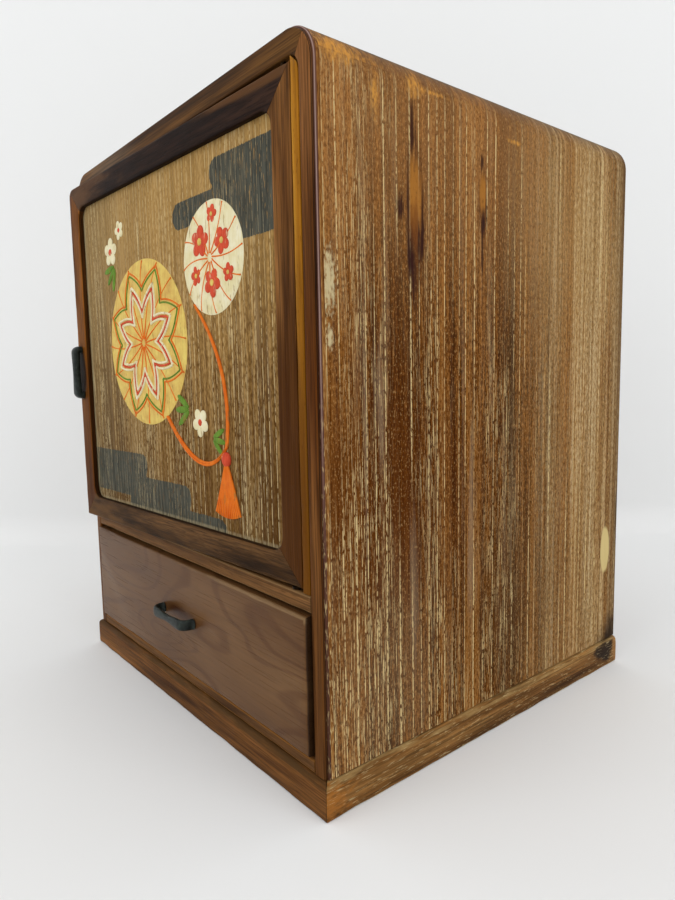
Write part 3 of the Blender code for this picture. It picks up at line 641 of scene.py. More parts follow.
RIGHT_BOARD = 31.0
LEFT_BOARD = 36.0
right_finish, colour = side_wood("side_right_finish", RIGHT_BOARD)
right_finish.lay(side_marks(right_finish, colour), 0.62)
left_finish, colour = side_wood("side_left_finish", LEFT_BOARD)
left_finish.lay(colour, 0.62)
COLUMN = 0.0005
ROW = 0.0045
columns = round((back_y - board_front) / COLUMN)
rows = round((shoulder_z - board_low.z) / ROW)
last_turn = math.asin((ceiling - SEAM - shoulder_z) / SHOULDER_RADIUS)
outer_line = [(half_width, board_low.z + (shoulder_z - board_low.z) * row / rows) for row in range(rows)]
for step in range(9):
    turn = last_turn * step / 8
    outer_line.append((shoulder_x + SHOULDER_RADIUS * math.cos(turn), shoulder_z + SHOULDER_RADIUS * math.sin(turn)))
inner_line = [(inner_half, ceiling - SEAM), (inner_half, board_low.z)]
raised_share = [min(1.0, row / 2, (len(outer_line) - 1 - row) / 2) for row in range(len(outer_line))] + [0.0, 0.0]
for node, sign, finish, board in (
        ("side_right", 1, right_finish, RIGHT_BOARD), ("side_left", -1, left_finish, LEFT_BOARD)):
    loops = []
    for column in range(columns + 1):
        y = board_front + (back_y - board_front) * column / columns
        loops.append([Vector((sign * x, y, z)) for x, z in outer_line + inner_line])
    marks = {"raised": raised_share * len(loops), "wear": [0.0] * len(loops) * len(loops[0])}
    piece = loft(node + "_wood", loops, marks, finish)
    grow(piece, brushed, finish, {
        "Across": side_across, "Cells": side_cells, "Wander": RING_WANDER, "Board": board, "Depth": BRUSHED_DEPTH,
        "Outwards": (sign, 0.0, 0.0)})
    stand_for(piece, node)


# Back panel
# A thin upright board of the same brushed wood, let in between the sides and under the top.
# A row of small wooden pegs holds it at each edge.
PEG_RADIUS = 0.0014
PEG_RISE = 0.0004
PEG_SPACING = 0.042
PEG_INSET = 0.005
back_across = (2 / SIDE_RING_GAP, 0.0, 0.0)
back_cells = (24.0, 8.0, 0.45)
finish, colour, filler = brushed_wood("back_finish", "x", back_across, back_cells, 41.0, side_shades)
colour = finish.blend(filler, colour, screen_colour(194, 168, 120))
finish.lay(colour, 0.66)
panel_low, panel_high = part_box("back_panel")
columns = round((panel_high.x - panel_low.x) / COLUMN)
back_rows = 40
loops = []
for column in range(columns + 1):
    x = panel_low.x + (panel_high.x - panel_low.x) * column / columns
    heights = [panel_low.z + (panel_high.z - panel_low.z) * row / back_rows for row in range(back_rows + 1)]
    face = [Vector((x, panel_high.y, z)) for z in heights]
    loops.append(face + [Vector((x, panel_low.y, panel_high.z)), Vector((x, panel_low.y, panel_low.z))])
shares = [min(1.0, row, back_rows - row) for row in range(back_rows + 1)] + [0.0, 0.0]
piece = loft("back_panel_wood", loops, {"raised": [float(share) for share in shares] * len(loops)}, finish)
grow(piece, brushed, finish, {
    "Across": back_across, "Cells": back_cells, "Wander": RING_WANDER, "Board": 41.0, "Depth": BRUSHED_DEPTH,
    "Outwards": (0.0, 1.0, 0.0)})
stand_for(piece, "back_panel")

pegs, given, add = node_tree("pegs", ("Shape", "Vector"))
head = add("GeometryNodeMeshUVSphere", {"Segments": 12, "Rings": 6, "Radius": 1.0})
heads = add("GeometryNodeInstanceOnPoints", {
    "Points": given["Geometry"], "Instance": head.outputs[0], "Scale": given["Shape"]})
close_tree(add, heads.outputs[0], given)


def peg_heads(name, places, shape, finish, body):
    """Peg heads at the given places, as one piece. The shape is a head's half sizes."""
    mesh = bpy.data.meshes.new(name)
    mesh.from_pydata(places, [], [])
    piece = bpy.data.objects.new(name, mesh)
    bpy.context.scene.collection.objects.link(piece)
    grow(piece, pegs, finish, {"Shape": shape})
    piece.data.shade_smooth()
    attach(piece, body)


peg_places = []
count = round((panel_high.z - panel_low.z - 2 * PEG_INSET) / PEG_SPACING)
for step in range(count + 1):
    z = panel_low.z + PEG_INSET + (panel_high.z - panel_low.z - 2 * PEG_INSET) * step / count
    for x in (panel_low.x + PEG_INSET, panel_high.x - PEG_INSET):
        peg_places.append((x, panel_high.y, z))
peg_finish = stained_wood(
    "back_peg_finish", "y", (screen_colour(84, 52, 26), screen_colour(112, 74, 38), screen_colour(140, 98, 54)),
    screen_colour(180, 146, 98), 44.0)
peg_heads("back_pegs", peg_places, (PEG_RADIUS, PEG_RISE, PEG_RADIUS), peg_finish, "cabinet")


# Top board
# A board of the same wood, its grain from side to side, planed smooth and rounded over both shoulders.
# It sits on the side boards with a glued seam, and its rounded ends have rubbed to orange.
CROWN_STEPS = 28
finish, side_colour = side_wood("top_finish", RIGHT_BOARD)
side_colour = side_marks(finish, side_colour)
streaks = finish.pattern((7.0, 300.0, 16.0), 2.0, 0.5, 51.0)
bands = finish.pattern((3.0, 45.0, 8.0), 2.0, 0.5, 52.0)
fibre = finish.pattern((30, 1500, 60), 3.0, 0.6, 53.0)
pores = finish.pattern((90, 2000, 90), 1.0, 0.5, 55.0)
tone = finish.mix_of((bands, 0.6), (streaks, 0.4))
colour = finish.shades(
    tone, (0.34, screen_colour(50, 34, 16)), (0.47, screen_colour(80, 56, 28)),
    (0.56, screen_colour(102, 74, 40)), (0.68, screen_colour(128, 96, 54)))
colour = finish.blend(0.5, colour, finish.rise(fibre, 0.28, 0.72), "OVERLAY")
colour = finish.blend(finish.both(finish.rise(pores, 0.58, 0.68), 0.5), colour, screen_colour(40, 25, 12))
beyond = finish.sums("ABSOLUTE", finish.coordinate("x"))
colour = finish.blend(finish.rise(beyond, half_width - 0.0075, half_width - 0.0025), colour, side_colour)
rub_and_highlight = finish.pattern((200, 420, 200), 3.0, 0.65, 54.0)
front_rub = finish.rise(finish.coordinate("y"), behind_front(0.048), behind_front(0.004))
front_rub = finish.both(front_rub, finish.rise(rub_and_highlight, 0.42, 0.60), finish.rise(beyond, half_width - 0.009, half_width - 0.002))
colour = finish.blend(finish.both(front_rub, 0.7), colour, screen_colour(204, 142, 60))
finish.lay(colour, finish.mix_of((fibre, 0.3), (1.0, 0.36)))
first_turn = math.asin((ceiling - shoulder_z) / SHOULDER_RADIUS)
right_half = []
for step in range(CROWN_STEPS + 1):
    turn = first_turn + (math.pi / 2 - first_turn) * step / CROWN_STEPS
    right_half.append((shoulder_x + SHOULDER_RADIUS * math.cos(turn), shoulder_z + SHOULDER_RADIUS * math.sin(turn)))
crown_line = right_half + [(-x, z) for x, z in reversed(right_half)]
loops = []
crown_count = 50
for step in range(crown_count + 1):
    y = board_front + (back_y - board_front) * step / crown_count
    loops.append([Vector((x, y, z)) for x, z in crown_line])
piece = loft("top_board_wood", loops, {"wear": [0.0] * len(crown_line) * len(loops)}, finish)
stand_for(piece, "top_board")


# Facing
# Dark reddish edging glued over the boards' front edges: two stiles and a top rail mitred at the rounded
# corners, with a cut line and a smooth bead along their outer side, and a mid and a bottom rail between them.
LIP_INSET = 0.0009
FACING_ARRIS = 0.0009
BEAD_FRONT = 0.0015
BEAD_RADIUS = 0.0009
CUT_LINE_DEPTH = 0.0006
INNER_ARRIS = 0.0006
CORNER_TURNS = 16
facing_deep = facing_high.y - front_y
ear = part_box("facing_top_rail")[0].z
opening_radius = ceiling - ear
opening_x = inner_half - opening_radius
facing_shades = (screen_colour(68, 38, 14), screen_colour(98, 59, 25), screen_colour(124, 80, 38))


def facing_finish(name, axis, board, shades=facing_shades, blots=()):
    """Satin reddish wood. Its bead has a painted mauve reflection and a painted highlight line, its cut line and lip
    arris have painted shade, and the cheek behind it is worn like the sides.
    """
    finish = Finish(name)
    figure = finish.pattern(along_grain(axis, 110, 5), 3.0, 0.55, board, 0.4)
    fibre = finish.pattern(along_grain(axis, 1300, 26), 3.0, 0.6, board + 3)
    dark, middle, light = shades
    colour = finish.shades(figure, (0.34, dark), (0.5, middle), (0.66, light))
    for share, tint, patch in blots:
        colour = finish.blot(colour, share, tint, *patch)
    colour = finish.blend(0.5, colour, finish.rise(fibre, 0.28, 0.72), "OVERLAY")
    flecks = finish.pattern(along_grain(axis, 1800, 260), 2.0, 0.6, board + 9)
    cheek = finish.mark("cheek")
    colour = finish.blend(cheek, colour, finish.shades(
        finish.mix_of((fibre, 0.6), (flecks, 0.4)), (0.36, screen_colour(78, 42, 14)), (0.5, screen_colour(128, 82, 36)),
        (0.6, screen_colour(172, 128, 72))))
    # Painted reflection: the bead's mauve is the room's reflection painted into its colour.
    bead = finish.mark("bead")
    colour = finish.blend(finish.both(bead, 0.75), colour, screen_colour(92, 62, 56))
    # Painted highlight: the pale line on the bead, where its wear mark is 1, kept to the upper part, where the light
    # catches it.
    high = finish.rise(finish.coordinate("z"), 0.10, 0.20)
    rub_and_highlight = finish.either(finish.mark("wear"), 0.0)
    colour = finish.blend(finish.both(rub_and_highlight, high, 0.75), colour, screen_colour(168, 142, 132))
    # Painted shade: the near-black line in the cut and along the lip's arris, where the wear mark is below 0, stands
    # for the shade in the groove.
    groove_shade = finish.rise(finish.mark("wear"), -0.05, -0.6)
    colour = finish.blend(finish.both(groove_shade, 0.9), colour, screen_colour(20, 11, 10))
    chips = finish.both(finish.either(bead, cheek), finish.rise(flecks, 0.54, 0.66), finish.sums("SUBTRACT", 1.0, high))
    colour = finish.blend(finish.both(chips, 0.8), colour, filler_colour)
    foot = finish.rise(finish.coordinate("z"), 0.16, 0.05)
    colour = finish.blend(finish.both(foot, finish.sums("SUBTRACT", 1.0, cheek), 0.45), colour, screen_colour(56, 31, 10))
    finish.emboss(fibre, 0.00005, 0.6)
    return finish.lay(colour, finish.mix_of((fibre, 0.25), (1.0, 0.3)))


def facing_points(width):
    """The facing's outline at one place, as (in from the outer line, back from the face, wear mark, bead, cheek); here
    the wear mark holds a painted highlight and painted shade, not wear.
    """
    bead_back = BEAD_FRONT + BEAD_RADIUS
    points = [
        (0.0001, facing_deep, 0.0, 0.0, 1.0), (0.0, facing_deep - 0.0003, 0.0, 0.0, 1.0),
        (0.0, bead_back + 0.0001, 0.0, 0.0, 1.0)]
    # A wear mark of 1 on the bead marks a painted highlight; marks below 0, at the cut line and the lip's arris, mark
    # painted shade.
    for step in range(7):
        turn = math.radians(80) * step / 6
        points.append((
            BEAD_RADIUS * (1 - math.cos(turn)), bead_back - BEAD_RADIUS * math.sin(turn),
            1.0 if step in (3, 4) else 0.0, 1.0, 0.0))
    points.append((LIP_INSET + CUT_LINE_DEPTH, BEAD_FRONT - 0.0002, -1.0, 0.0, 0.0))
    points.append((LIP_INSET, FACING_ARRIS + 0.0002, 0.0, 0.0, 0.0))
    for step in range(1, 6):
        turn = math.pi / 2 * step / 5
        points.append((
            LIP_INSET + FACING_ARRIS * (1 - math.cos(turn)), FACING_ARRIS * (1 - math.sin(turn)),
            -0.7 if step < 2 else 0.0, 0.0, 0.0))
    points.append((width - INNER_ARRIS - 0.0012, 0.0, 0.0, 0.0, 0.0))
    for step in range(4):
        turn = math.pi / 2 * step / 3
        points.append((
            width - INNER_ARRIS + INNER_ARRIS * math.sin(turn), INNER_ARRIS * (1 - math.cos(turn)), 0.0, 0.0, 0.0))
    points.append((width, facing_deep, 0.0, 0.0, 0.0))
    return points


def facing_run(name, stations, sign, finish, node):
    """Facing along stations, each an outer and an inner point of X with Z."""
    loops = []
    marks = {"wear": [], "bead": [], "cheek": []}
    for outer, inner in stations:
        outer = Vector(outer)
        across = Vector(inner) - outer
        width = across.length
        ring = []
        for into, back, worn, bead, cheek in facing_points(width):
            point = outer + across * (into / width)
            ring.append(Vector((sign * point.x, front_y + back, point.y)))
            marks["wear"].append(worn)
            marks["bead"].append(bead)
            marks["cheek"].append(cheek)
        loops.append(ring)
    piece = loft(name, loops, marks, finish)
    stand_for(piece, node)


def corner_station(turn):
    outer = (shoulder_x + SHOULDER_RADIUS * math.cos(turn), shoulder_z + SHOULDER_RADIUS * math.sin(turn))
    inner = (opening_x + opening_radius * math.cos(turn), ear + opening_radius * math.sin(turn))
    return outer, inner


stile_stations = []
for step in range(60):
    z = facing_low.z + (ear - facing_low.z) * step / 60
    stile_stations.append(((half_width, z), (inner_half, z)))
mitre_slack = math.radians(0.3)
for step in range(CORNER_TURNS + 1):
    stile_stations.append(corner_station((math.pi / 4 - mitre_slack) * step / CORNER_TURNS))
pale_head = ((0, 0, 0.278), (0, 0, 0.045), 0.3, (60, 60, 20), 0.0)
dark_middle = ((0, 0, 0.175), (0, 0, 0.06), 0.3, (60, 60, 20), 0.0)
stile_blots = ((0.45, screen_colour(156, 104, 58), pale_head), (0.6, screen_colour(70, 30, 0), dark_middle))
for side, sign in (("right", 1), ("left", -1)):
    finish = facing_finish(f"facing_{side}_finish", "z", 61.5 + sign / 2, blots=stile_blots)
    facing_run(f"facing_stile_{side}_wood", stile_stations, sign, finish, "facing_stile_" + side)
rail_half = []
for step in range(CORNER_TURNS + 1):
    turn = math.pi / 4 + mitre_slack + (math.pi / 4 - mitre_slack) * step / CORNER_TURNS
    rail_half.append(corner_station(turn))
for step in range(1, 31):
    x = opening_x * (1 - step / 30)
    rail_half.append(((x, cabinet_top), (x, ceiling)))
mirrored_half = [((-outer[0], outer[1]), (-inner[0], inner[1])) for outer, inner in reversed(rail_half[:-1])]
rail_shades = (screen_colour(44, 26, 10), screen_colour(68, 43, 19), screen_colour(102, 68, 30))
pale_end = ((-0.070, 0, 0), (0.06, 0, 0), 0.3, (20, 60, 60), 0.0)
finish = facing_finish(
    "facing_top_finish", "x", 63.0, rail_shades, ((0.5, screen_colour(112, 92, 72), pale_end),))
facing_run("facing_top_rail_wood", rail_half + mirrored_half, 1, finish, "facing_top_rail")
cross_shades = (screen_colour(66, 42, 22), screen_colour(96, 65, 36), screen_colour(118, 82, 46))
for number, (node, worn) in enumerate((
        ("facing_mid_rail", screen_colour(122, 92, 58)), ("facing_bottom_rail", screen_colour(130, 86, 40)))):
    low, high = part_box(node)
    outline = section([
        (low.z, front_y, 0.0006), (low.z, high.y, 0.0), (high.z, high.y, 0.0), (high.z, front_y, 0.0008)], fade=0.0003)
    finish = stained_wood(node + "_finish", "x", cross_shades, worn, 64.0 + number, (0.35, 0.75))
    piece = member(
        node + "_wood", outline, lambda along, up, back: Vector((along, back, up)),
        lambda up: (low.x, high.x), 60, finish)
    weather(piece, 0.0004, 0.01, 64.0 + number)
    stand_for(piece, node)


# Hinge strip
# A narrow strip of orange wood beside the door's hinged edge, flush with the facing.
# Its top is cut to the rounded corner of the opening, and it is painted darker towards its foot.
strip_low, strip_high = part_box("hinge_strip")
finish = Finish("strip_finish")
figure = finish.pattern(along_grain("z", 260, 8), 3.0, 0.55, 71.0, 0.3)
fibre = finish.pattern(along_grain("z", 1500, 40), 3.0, 0.6, 72.0)
flecks = finish.pattern(along_grain("z", 900, 260), 1.0, 0.5, 73.0)
colour = finish.shades(
    figure, (0.3, screen_colour(130, 80, 12)), (0.5, screen_colour(164, 108, 26)),
    (0.7, screen_colour(186, 132, 42)))
colour = finish.blend(0.6, colour, fibre, "OVERLAY")
colour = finish.blend(finish.both(finish.rise(flecks, 0.62, 0.7), 0.45), colour, screen_colour(100, 56, 8))
foot = finish.rise(finish.coordinate("z"), 0.27, 0.12)
colour = finish.blend(finish.both(foot, 0.85), colour, screen_colour(88, 49, 6))
finish.emboss(fibre, 0.00006, 0.6)
finish.lay(colour, finish.mix_of((fibre, 0.3), (1.0, 0.34)))
outline = section([
    (strip_low.x, strip_low.y, 0.0003), (strip_high.x, strip_low.y, 0.0003),
    (strip_high.x, strip_high.y, 0.0), (strip_low.x, strip_high.y, 0.0)], fade=0.0003)
strip_radius = opening_radius - 0.0003


def strip_ends(x):
    reach = min(strip_radius, max(0.0, x - opening_x))
    return strip_low.z, ear + math.sqrt(strip_radius ** 2 - reach ** 2)


piece = member(
    "hinge_strip_wood", outline, lambda along, x, y: Vector((x, y, along)), strip_ends, 60, finish)
weather(piece, 0.0003, 0.012, 71.0)
stand_for(piece, "hinge_strip")


# Pivot pins and washer
# Two turned brass pins stand in the facing rails, and the door's corners turn on them.
# A thin brass washer under the door carries its weight; all three have gone nearly black with age.
finish = Finish("pin_finish")
turning = finish.pattern((200, 200, 9000), 1.0, 0.5, 81.0)
tarnish = finish.pattern((500, 500, 500), 3.0, 0.6, 82.0)
colour = finish.shades(
    tarnish, (0.4, screen_colour(26, 17, 9)), (0.6, screen_colour(46, 32, 16)), (0.8, screen_colour(86, 62, 28)))
finish.emboss(turning, 0.00003, 0.5)
finish.lay(colour, finish.mix_of((tarnish, 0.4), (1.0, 0.3)), metal=0.7)
for node in ("pivot_pin_upper", "pivot_pin_lower", "pivot_washer"):
    frame["nodes"][node].material_slots[0].material = finish.material


# Door frame
# Four dark members, mitred at the corners and grooved for the panel, with small rounded edges.
# The rails are the darkest; the top one has a paler band at its hinged end, and the latch edge's arris is paler orange,
# partly rubbed wear and partly painted highlight.
DOOR_ARRIS = 0.0009
HINGED_ARRIS = 0.0003
REVEAL_ARRIS = 0.0008
DOOR_INNER_RADIUS = 0.007
DOOR_FRAME_WIDTH = 0.0125
DOOR_THICKNESS = 0.012
PANEL_GROOVE = 0.004
PANEL_RECESS = 0.0028
PANEL_THICKNESS = 0.004
PANEL_GAP = 0.0003
DOOR_GAP = 0.0015
MITRE_TURNS = 10
hinge = next(joint for joint in frame["joints"] if joint["name"] == "door_hinge")
pivot = Vector(hinge["pos_m"])
ajar = -math.radians(hinge["range_deg"][0])
door_turn = Matrix.Translation(pivot) @ Matrix.Rotation(ajar, 4, "Z") @ Matrix.Translation(-pivot)
shut_corners = [door_turn.inverted() @ vertex.co for vertex in frame["nodes"]["door_top_rail"].data.vertices]
door_left = min(corner.x for corner in shut_corners)
door_right = max(corner.x for corner in shut_corners)
door_high = max(corner.z for corner in shut_corners)
door_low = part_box("door_bottom_rail")[0].z
door_corner_radius = opening_radius - DOOR_GAP
inner_centre = DOOR_FRAME_WIDTH + DOOR_INNER_RADIUS
groove_back = PANEL_RECESS + PANEL_THICKNESS + 2 * PANEL_GAP


def door_section(arris):
    """The door member's outline as (in, back, wear, whether it follows the inner corner)."""
    points = [(0.0, DOOR_THICKNESS, 0.0, False), (0.0, arris + WEAR_FADE, 0.0, False)]
    for step in range(5):
        turn = math.pi / 2 * step / 4
        points.append((arris * (1 - math.cos(turn)), arris * (1 - math.sin(turn)), 1.0, False))
    points.append((arris + WEAR_FADE / 2, 0.0, 0.0, False))
    # Marks below 0 on the reveal call for painted shade, as the recess is shaded.
    edge = DOOR_FRAME_WIDTH
    points.append((edge - REVEAL_ARRIS - WEAR_FADE / 2, 0.0, 0.0, True))
    for step in range(5):
        turn = math.pi / 2 * step / 4
        points.append((
            edge - REVEAL_ARRIS * (1 - math.sin(turn)), REVEAL_ARRIS * (1 - math.cos(turn)),
            0.4 if step < 3 else -0.8, True))
    points += [
        (edge, PANEL_RECESS, -1.0, True), (edge - PANEL_GROOVE, PANEL_RECESS, -1.0, True),
        (edge - PANEL_GROOVE, groove_back, 0.0, True), (edge, groove_back, 0.0, True),
        (edge, DOOR_THICKNESS, 0.0, True)]
    return points


def corner_points(into, own_radius):
    """Half of a corner, from its mitre to where the edge runs straight, as (along, in) points."""
    shares = [step / MITRE_TURNS for step in range(MITRE_TURNS + 1)]
    if own_radius > into:
        turns = [math.radians(225 + 45 * share) for share in shares]
        reach = own_radius - into
        return [(own_radius + reach * math.cos(turn), own_radius + reach * math.sin(turn)) for turn in turns]
    return [(into + (inner_centre - into) * share, into) for share in shares]


def door_member(node, length, start_radius, end_radius, place, finish, board, arris=DOOR_ARRIS):
    outline = door_section(arris)

    def half(own_radius):
        lines = [
            corner_points(into, inner_centre if inside else own_radius) for into, _, _, inside in outline]
        return [[line[step] for line in lines] for step in range(MITRE_TURNS + 1)]

    first = half(start_radius)
    last = [[(length - along, into) for along, into in ring] for ring in reversed(half(end_radius))]
    between = []
    count = round((length - 2 * inner_centre) / 0.004)
    for step in range(1, count):
        share = step / count
        between.append([
            (begin[0] + (end[0] - begin[0]) * share, begin[1]) for begin, end in zip(first[-1], last[0])])
    loops = []
    for number, ring in enumerate(first + between + last):
        slack = MITRE_GAP if number == 0 else -MITRE_GAP if number == len(first + between + last) - 1 else 0.0
        loops.append([
            door_turn @ place(along + slack, into, back) for (along, into), (_, back, _, _) in zip(ring, outline)])
    wear = [worn for _, _, worn, _ in outline]
    piece = loft(node + "_wood", loops, {"wear": wear * len(loops)}, finish)
    weather(piece, 0.0003, 0.01, board)
    stand_for(piece, node)


door_width = door_right - door_left
door_height = door_high - door_low
top_shades = (screen_colour(17, 10, 8), screen_colour(32, 20, 15), screen_colour(60, 39, 27))
low_shades = (screen_colour(38, 24, 11), screen_colour(69, 46, 24), screen_colour(92, 64, 36))
stile_shades = (screen_colour(70, 40, 15), screen_colour(111, 72, 34), screen_colour(144, 100, 54))
latch_shades = (screen_colour(84, 46, 12), screen_colour(126, 76, 28), screen_colour(156, 104, 52))
pale_band = ((door_right, 0, door_high), (0.085, 0, 0.0050), 0.3, (30, 30, 200))
dark_foot = ((0, 0, door_low), (0, 0, 0.13), 0.2, (20, 20, 20))
latch_foot = ((0, 0, door_low), (0, 0, 0.15), 0.2, (20, 20, 20), 0.0)
rubbed_left = ((door_left, 0, door_high), (0.075, 0, 0.03), 0.7, (60, 60, 260), 0.0)
rubbed_foot = ((door_left, 0, door_low), (0.10, 0, 0.03), 0.7, (60, 60, 260), 0.0)
# Painted shade: the latch stile is painted near black behind the handle, standing for its shadow in the narrow gap.
handle_shade_middle = (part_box("door_handle_nut_lower")[0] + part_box("door_handle_nut_upper")[1]) / 2
handle_shade_middle = door_turn.inverted() @ handle_shade_middle
handle_shade_middle.y = front_y
handle_shade_spot = (tuple(door_turn @ handle_shade_middle), (0.0075, 0.004, 0.0185), 0.15, (300, 300, 150))
door_member(
    "door_top_rail", door_width, door_corner_radius, 0.0,
    lambda along, into, back: Vector((door_left + along, front_y + back, door_high - into)),
    stained_wood("door_top_finish", "x", top_shades, screen_colour(84, 56, 30), 91.0, (0.7, 1.0),
                 blots=((0.8, screen_colour(96, 63, 34), pale_band),
                        (0.75, screen_colour(96, 66, 41), rubbed_left))), 91.0)
door_member(
    "door_bottom_rail", door_width, 0.0, 0.0,
    lambda along, into, back: Vector((door_left + along, front_y + back, door_low + into)),
    stained_wood("door_bottom_finish", "x", low_shades, screen_colour(96, 66, 34), 92.0, (0.7, 1.0),
                 blots=((0.6, screen_colour(110, 76, 40), rubbed_foot),)), 92.0)
# The latch stile's orange arris is partly real wear and partly a painted highlight along its rounded edge.
door_member(
    "door_latch_stile", door_height, 0.0, door_corner_radius,
    lambda along, into, back: Vector((door_left + into, front_y + back, door_low + along)),
    stained_wood("door_latch_finish", "z", latch_shades, screen_colour(140, 90, 40), 93.0, (0.4, 0.8),
                 blots=((0.7, screen_colour(56, 26, 8), latch_foot),
                        (0.9, screen_colour(14, 8, 5), handle_shade_spot))), 93.0)
door_member(
    "door_hinge_stile", door_height, 0.0, 0.0,
    lambda along, into, back: Vector((door_right - into, front_y + back, door_low + along)),
    stained_wood("door_hinge_finish", "z", stile_shades, screen_colour(104, 64, 26), 94.0, (0.7, 1.0),
                 blots=((0.8, screen_colour(66, 34, 5), dark_foot),)), 94.0, HINGED_ARRIS)


# Door panel
# A thin upright board of pale brushed wood that floats in the frame's groove.
# Bands of charcoal mist are painted across it, and the brushed grain has worn through the paint in lines.
MIST_REACH = 0.0062
PANEL_RING_GAP = 0.0034
PANEL_BRUSHED_DEPTH = 0.00016
panel_across = (2 / PANEL_RING_GAP, 0.0, 0.0)
panel_cells = (26.0, 8.0, 0.45)
panel_inset = DOOR_FRAME_WIDTH - PANEL_GROOVE + PANEL_GAP
panel_radius = DOOR_INNER_RADIUS + PANEL_GROOVE - PANEL_GAP
panel_left = door_left + panel_inset
panel_right = door_right - panel_inset
panel_bottom = door_low + panel_inset
panel_top = door_high - panel_inset
panel_face = front_y + PANEL_RECESS + PANEL_GAP
middle_x = (panel_left + panel_right) / 2
middle_z = (panel_bottom + panel_top) / 2
mist_bars = (
    (0.052, 0.105, 0.0735), (0.018, 0.105, 0.0610), (0.060, 0.105, 0.0485),
    (-0.105, 0.012, -0.0745), (-0.105, -0.034, -0.0620), (-0.046, 0.044, -0.0868))
panel_shades = (screen_colour(88, 58, 24), screen_colour(134, 100, 52), screen_colour(176, 140, 86))
finish, colour, filler = brushed_wood(
    "panel_finish", "x", panel_across, panel_cells, 101.0, panel_shades, lambda finish: 0.02)
high_part = finish.rise(finish.coordinate("z"), middle_z - 0.03, panel_top - 0.015)
colour = finish.blend(finish.both(high_part, 0.5), colour, screen_colour(180, 144, 86))
left_part = finish.rise(finish.coordinate("x"), middle_x, panel_left)
colour = finish.blend(finish.both(left_part, 0.5), colour, screen_colour(128, 110, 78))
low_part = finish.rise(finish.coordinate("z"), middle_z + 0.02, panel_bottom)
colour = finish.blend(finish.both(low_part, 0.65), colour, screen_colour(76, 47, 14))
colour = finish.blend(filler, colour, screen_colour(208, 188, 142))
cover = None
for start, end, level in mist_bars:
    half = (end - start) / 2
    shift = (-(middle_x + start + half), 0.0, -(middle_z + level))
    bar = finish.add("ShaderNodeMapping", {"Vector": finish.place, "Location": shift, "Scale": (1.0, 0.0, 1.0)})
    folded = finish.add("ShaderNodeVectorMath", {0: bar.outputs[0]}, operation="ABSOLUTE")
    beyond = finish.add("ShaderNodeVectorMath", {0: folded.outputs[0], 1: (half, 0, 0)}, operation="SUBTRACT")
    beyond = finish.add("ShaderNodeVectorMath", {0: beyond.outputs[0], 1: (0, 0, 0)}, operation="MAXIMUM")
    away = finish.add("ShaderNodeVectorMath", {0: beyond.outputs[0]}, operation="LENGTH").outputs["Value"]
    if cover is None:
        cover = away
    else:
        cover = finish.add("ShaderNodeMath", {0: cover, 1: away, 2: 0.004}, operation="SMOOTH_MIN").outputs[0]
threads_of_grain = finish.pattern((900, 8, 160), 2.0, 0.6, 115.0)
tear = finish.sums("MULTIPLY", finish.sums("SUBTRACT", threads_of_grain, 0.5), 0.0016)
mist = finish.rise(finish.sums("ADD", cover, tear), MIST_REACH + 0.0002, MIST_REACH - 0.0002)
brush_marks = finish.pattern((1500, 8, 60), 3.0, 0.65, 116.0)
worn_through = finish.rise(finish.pattern((1300, 8, 150), 2.0, 0.6, 117.0), 0.60, 0.68)
paint = finish.shades(
    brush_marks, (0.3, screen_colour(48, 48, 42)), (0.5, screen_colour(72, 72, 64)), (0.7, screen_colour(98, 97, 84)))
kept = finish.sums("SUBTRACT", 1.0, finish.both(finish.either(worn_through, finish.both(filler, 0.6)), 0.7))
face = finish.rise(finish.mark("raised"), 0.3, 0.9)
colour = finish.blend(finish.both(mist, kept, face), colour, paint)
seen_low = door_low + DOOR_FRAME_WIDTH
seen_left = (door_turn @ Vector((door_left + DOOR_FRAME_WIDTH, panel_face, 0.0))).x
bare_foot = finish.rise(finish.coordinate("z"), seen_low + 0.0020, seen_low + 0.0006)
bare_side = finish.rise(finish.coordinate("x"), seen_left + 0.0036, seen_left + 0.0010)
unpainted = finish.both(finish.either(bare_foot, bare_side), finish.rise(brush_marks, 0.32, 0.60), 0.6)
colour = finish.blend(unpainted, colour, screen_colour(186, 170, 132))
finish.lay(colour, 0.6)
panel_columns = round((panel_right - panel_left) / COLUMN)
panel_rows = 60
loops = []
for column in range(panel_columns + 1):
    x = panel_left + (panel_right - panel_left) * column / panel_columns
    edge = min(x - panel_left, panel_right - x)
    drop = 0.0
    if edge < panel_radius:
        drop = panel_radius - math.sqrt(panel_radius ** 2 - (panel_radius - edge) ** 2)
    low, high = panel_bottom + drop, panel_top - drop
    ring = [Vector((x, panel_face, low + (high - low) * row / panel_rows)) for row in range(panel_rows + 1)]
    ring += [Vector((x, panel_face + PANEL_THICKNESS, high)), Vector((x, panel_face + PANEL_THICKNESS, low))]
    loops.append([door_turn @ point for point in ring])
raised_share = [1.0] * (panel_rows + 1) + [0.0, 0.0]
piece = loft("door_panel_wood", loops, {"raised": raised_share * len(loops)}, finish)
outwards = door_turn.to_3x3() @ Vector((0.0, -1.0, 0.0))
grow(piece, brushed, finish, {
    "Across": panel_across, "Cells": panel_cells, "Wander": RING_WANDER, "Board": 101.0,
    "Depth": PANEL_BRUSHED_DEPTH, "Outwards": outwards[:]})
stand_for(piece, "door_panel")


# Painted thread balls
# Two balls wound with coloured thread, with blossoms, leaves and a tasselled cord, in raised lacquer.
# The paint is built up a little over the panel, and rubbed where the grain below stands proud.
on_panel = door_turn @ Matrix.Translation((middle_x, panel_face, middle_z)) @ Matrix.Rotation(math.radians(90), 4, "X")


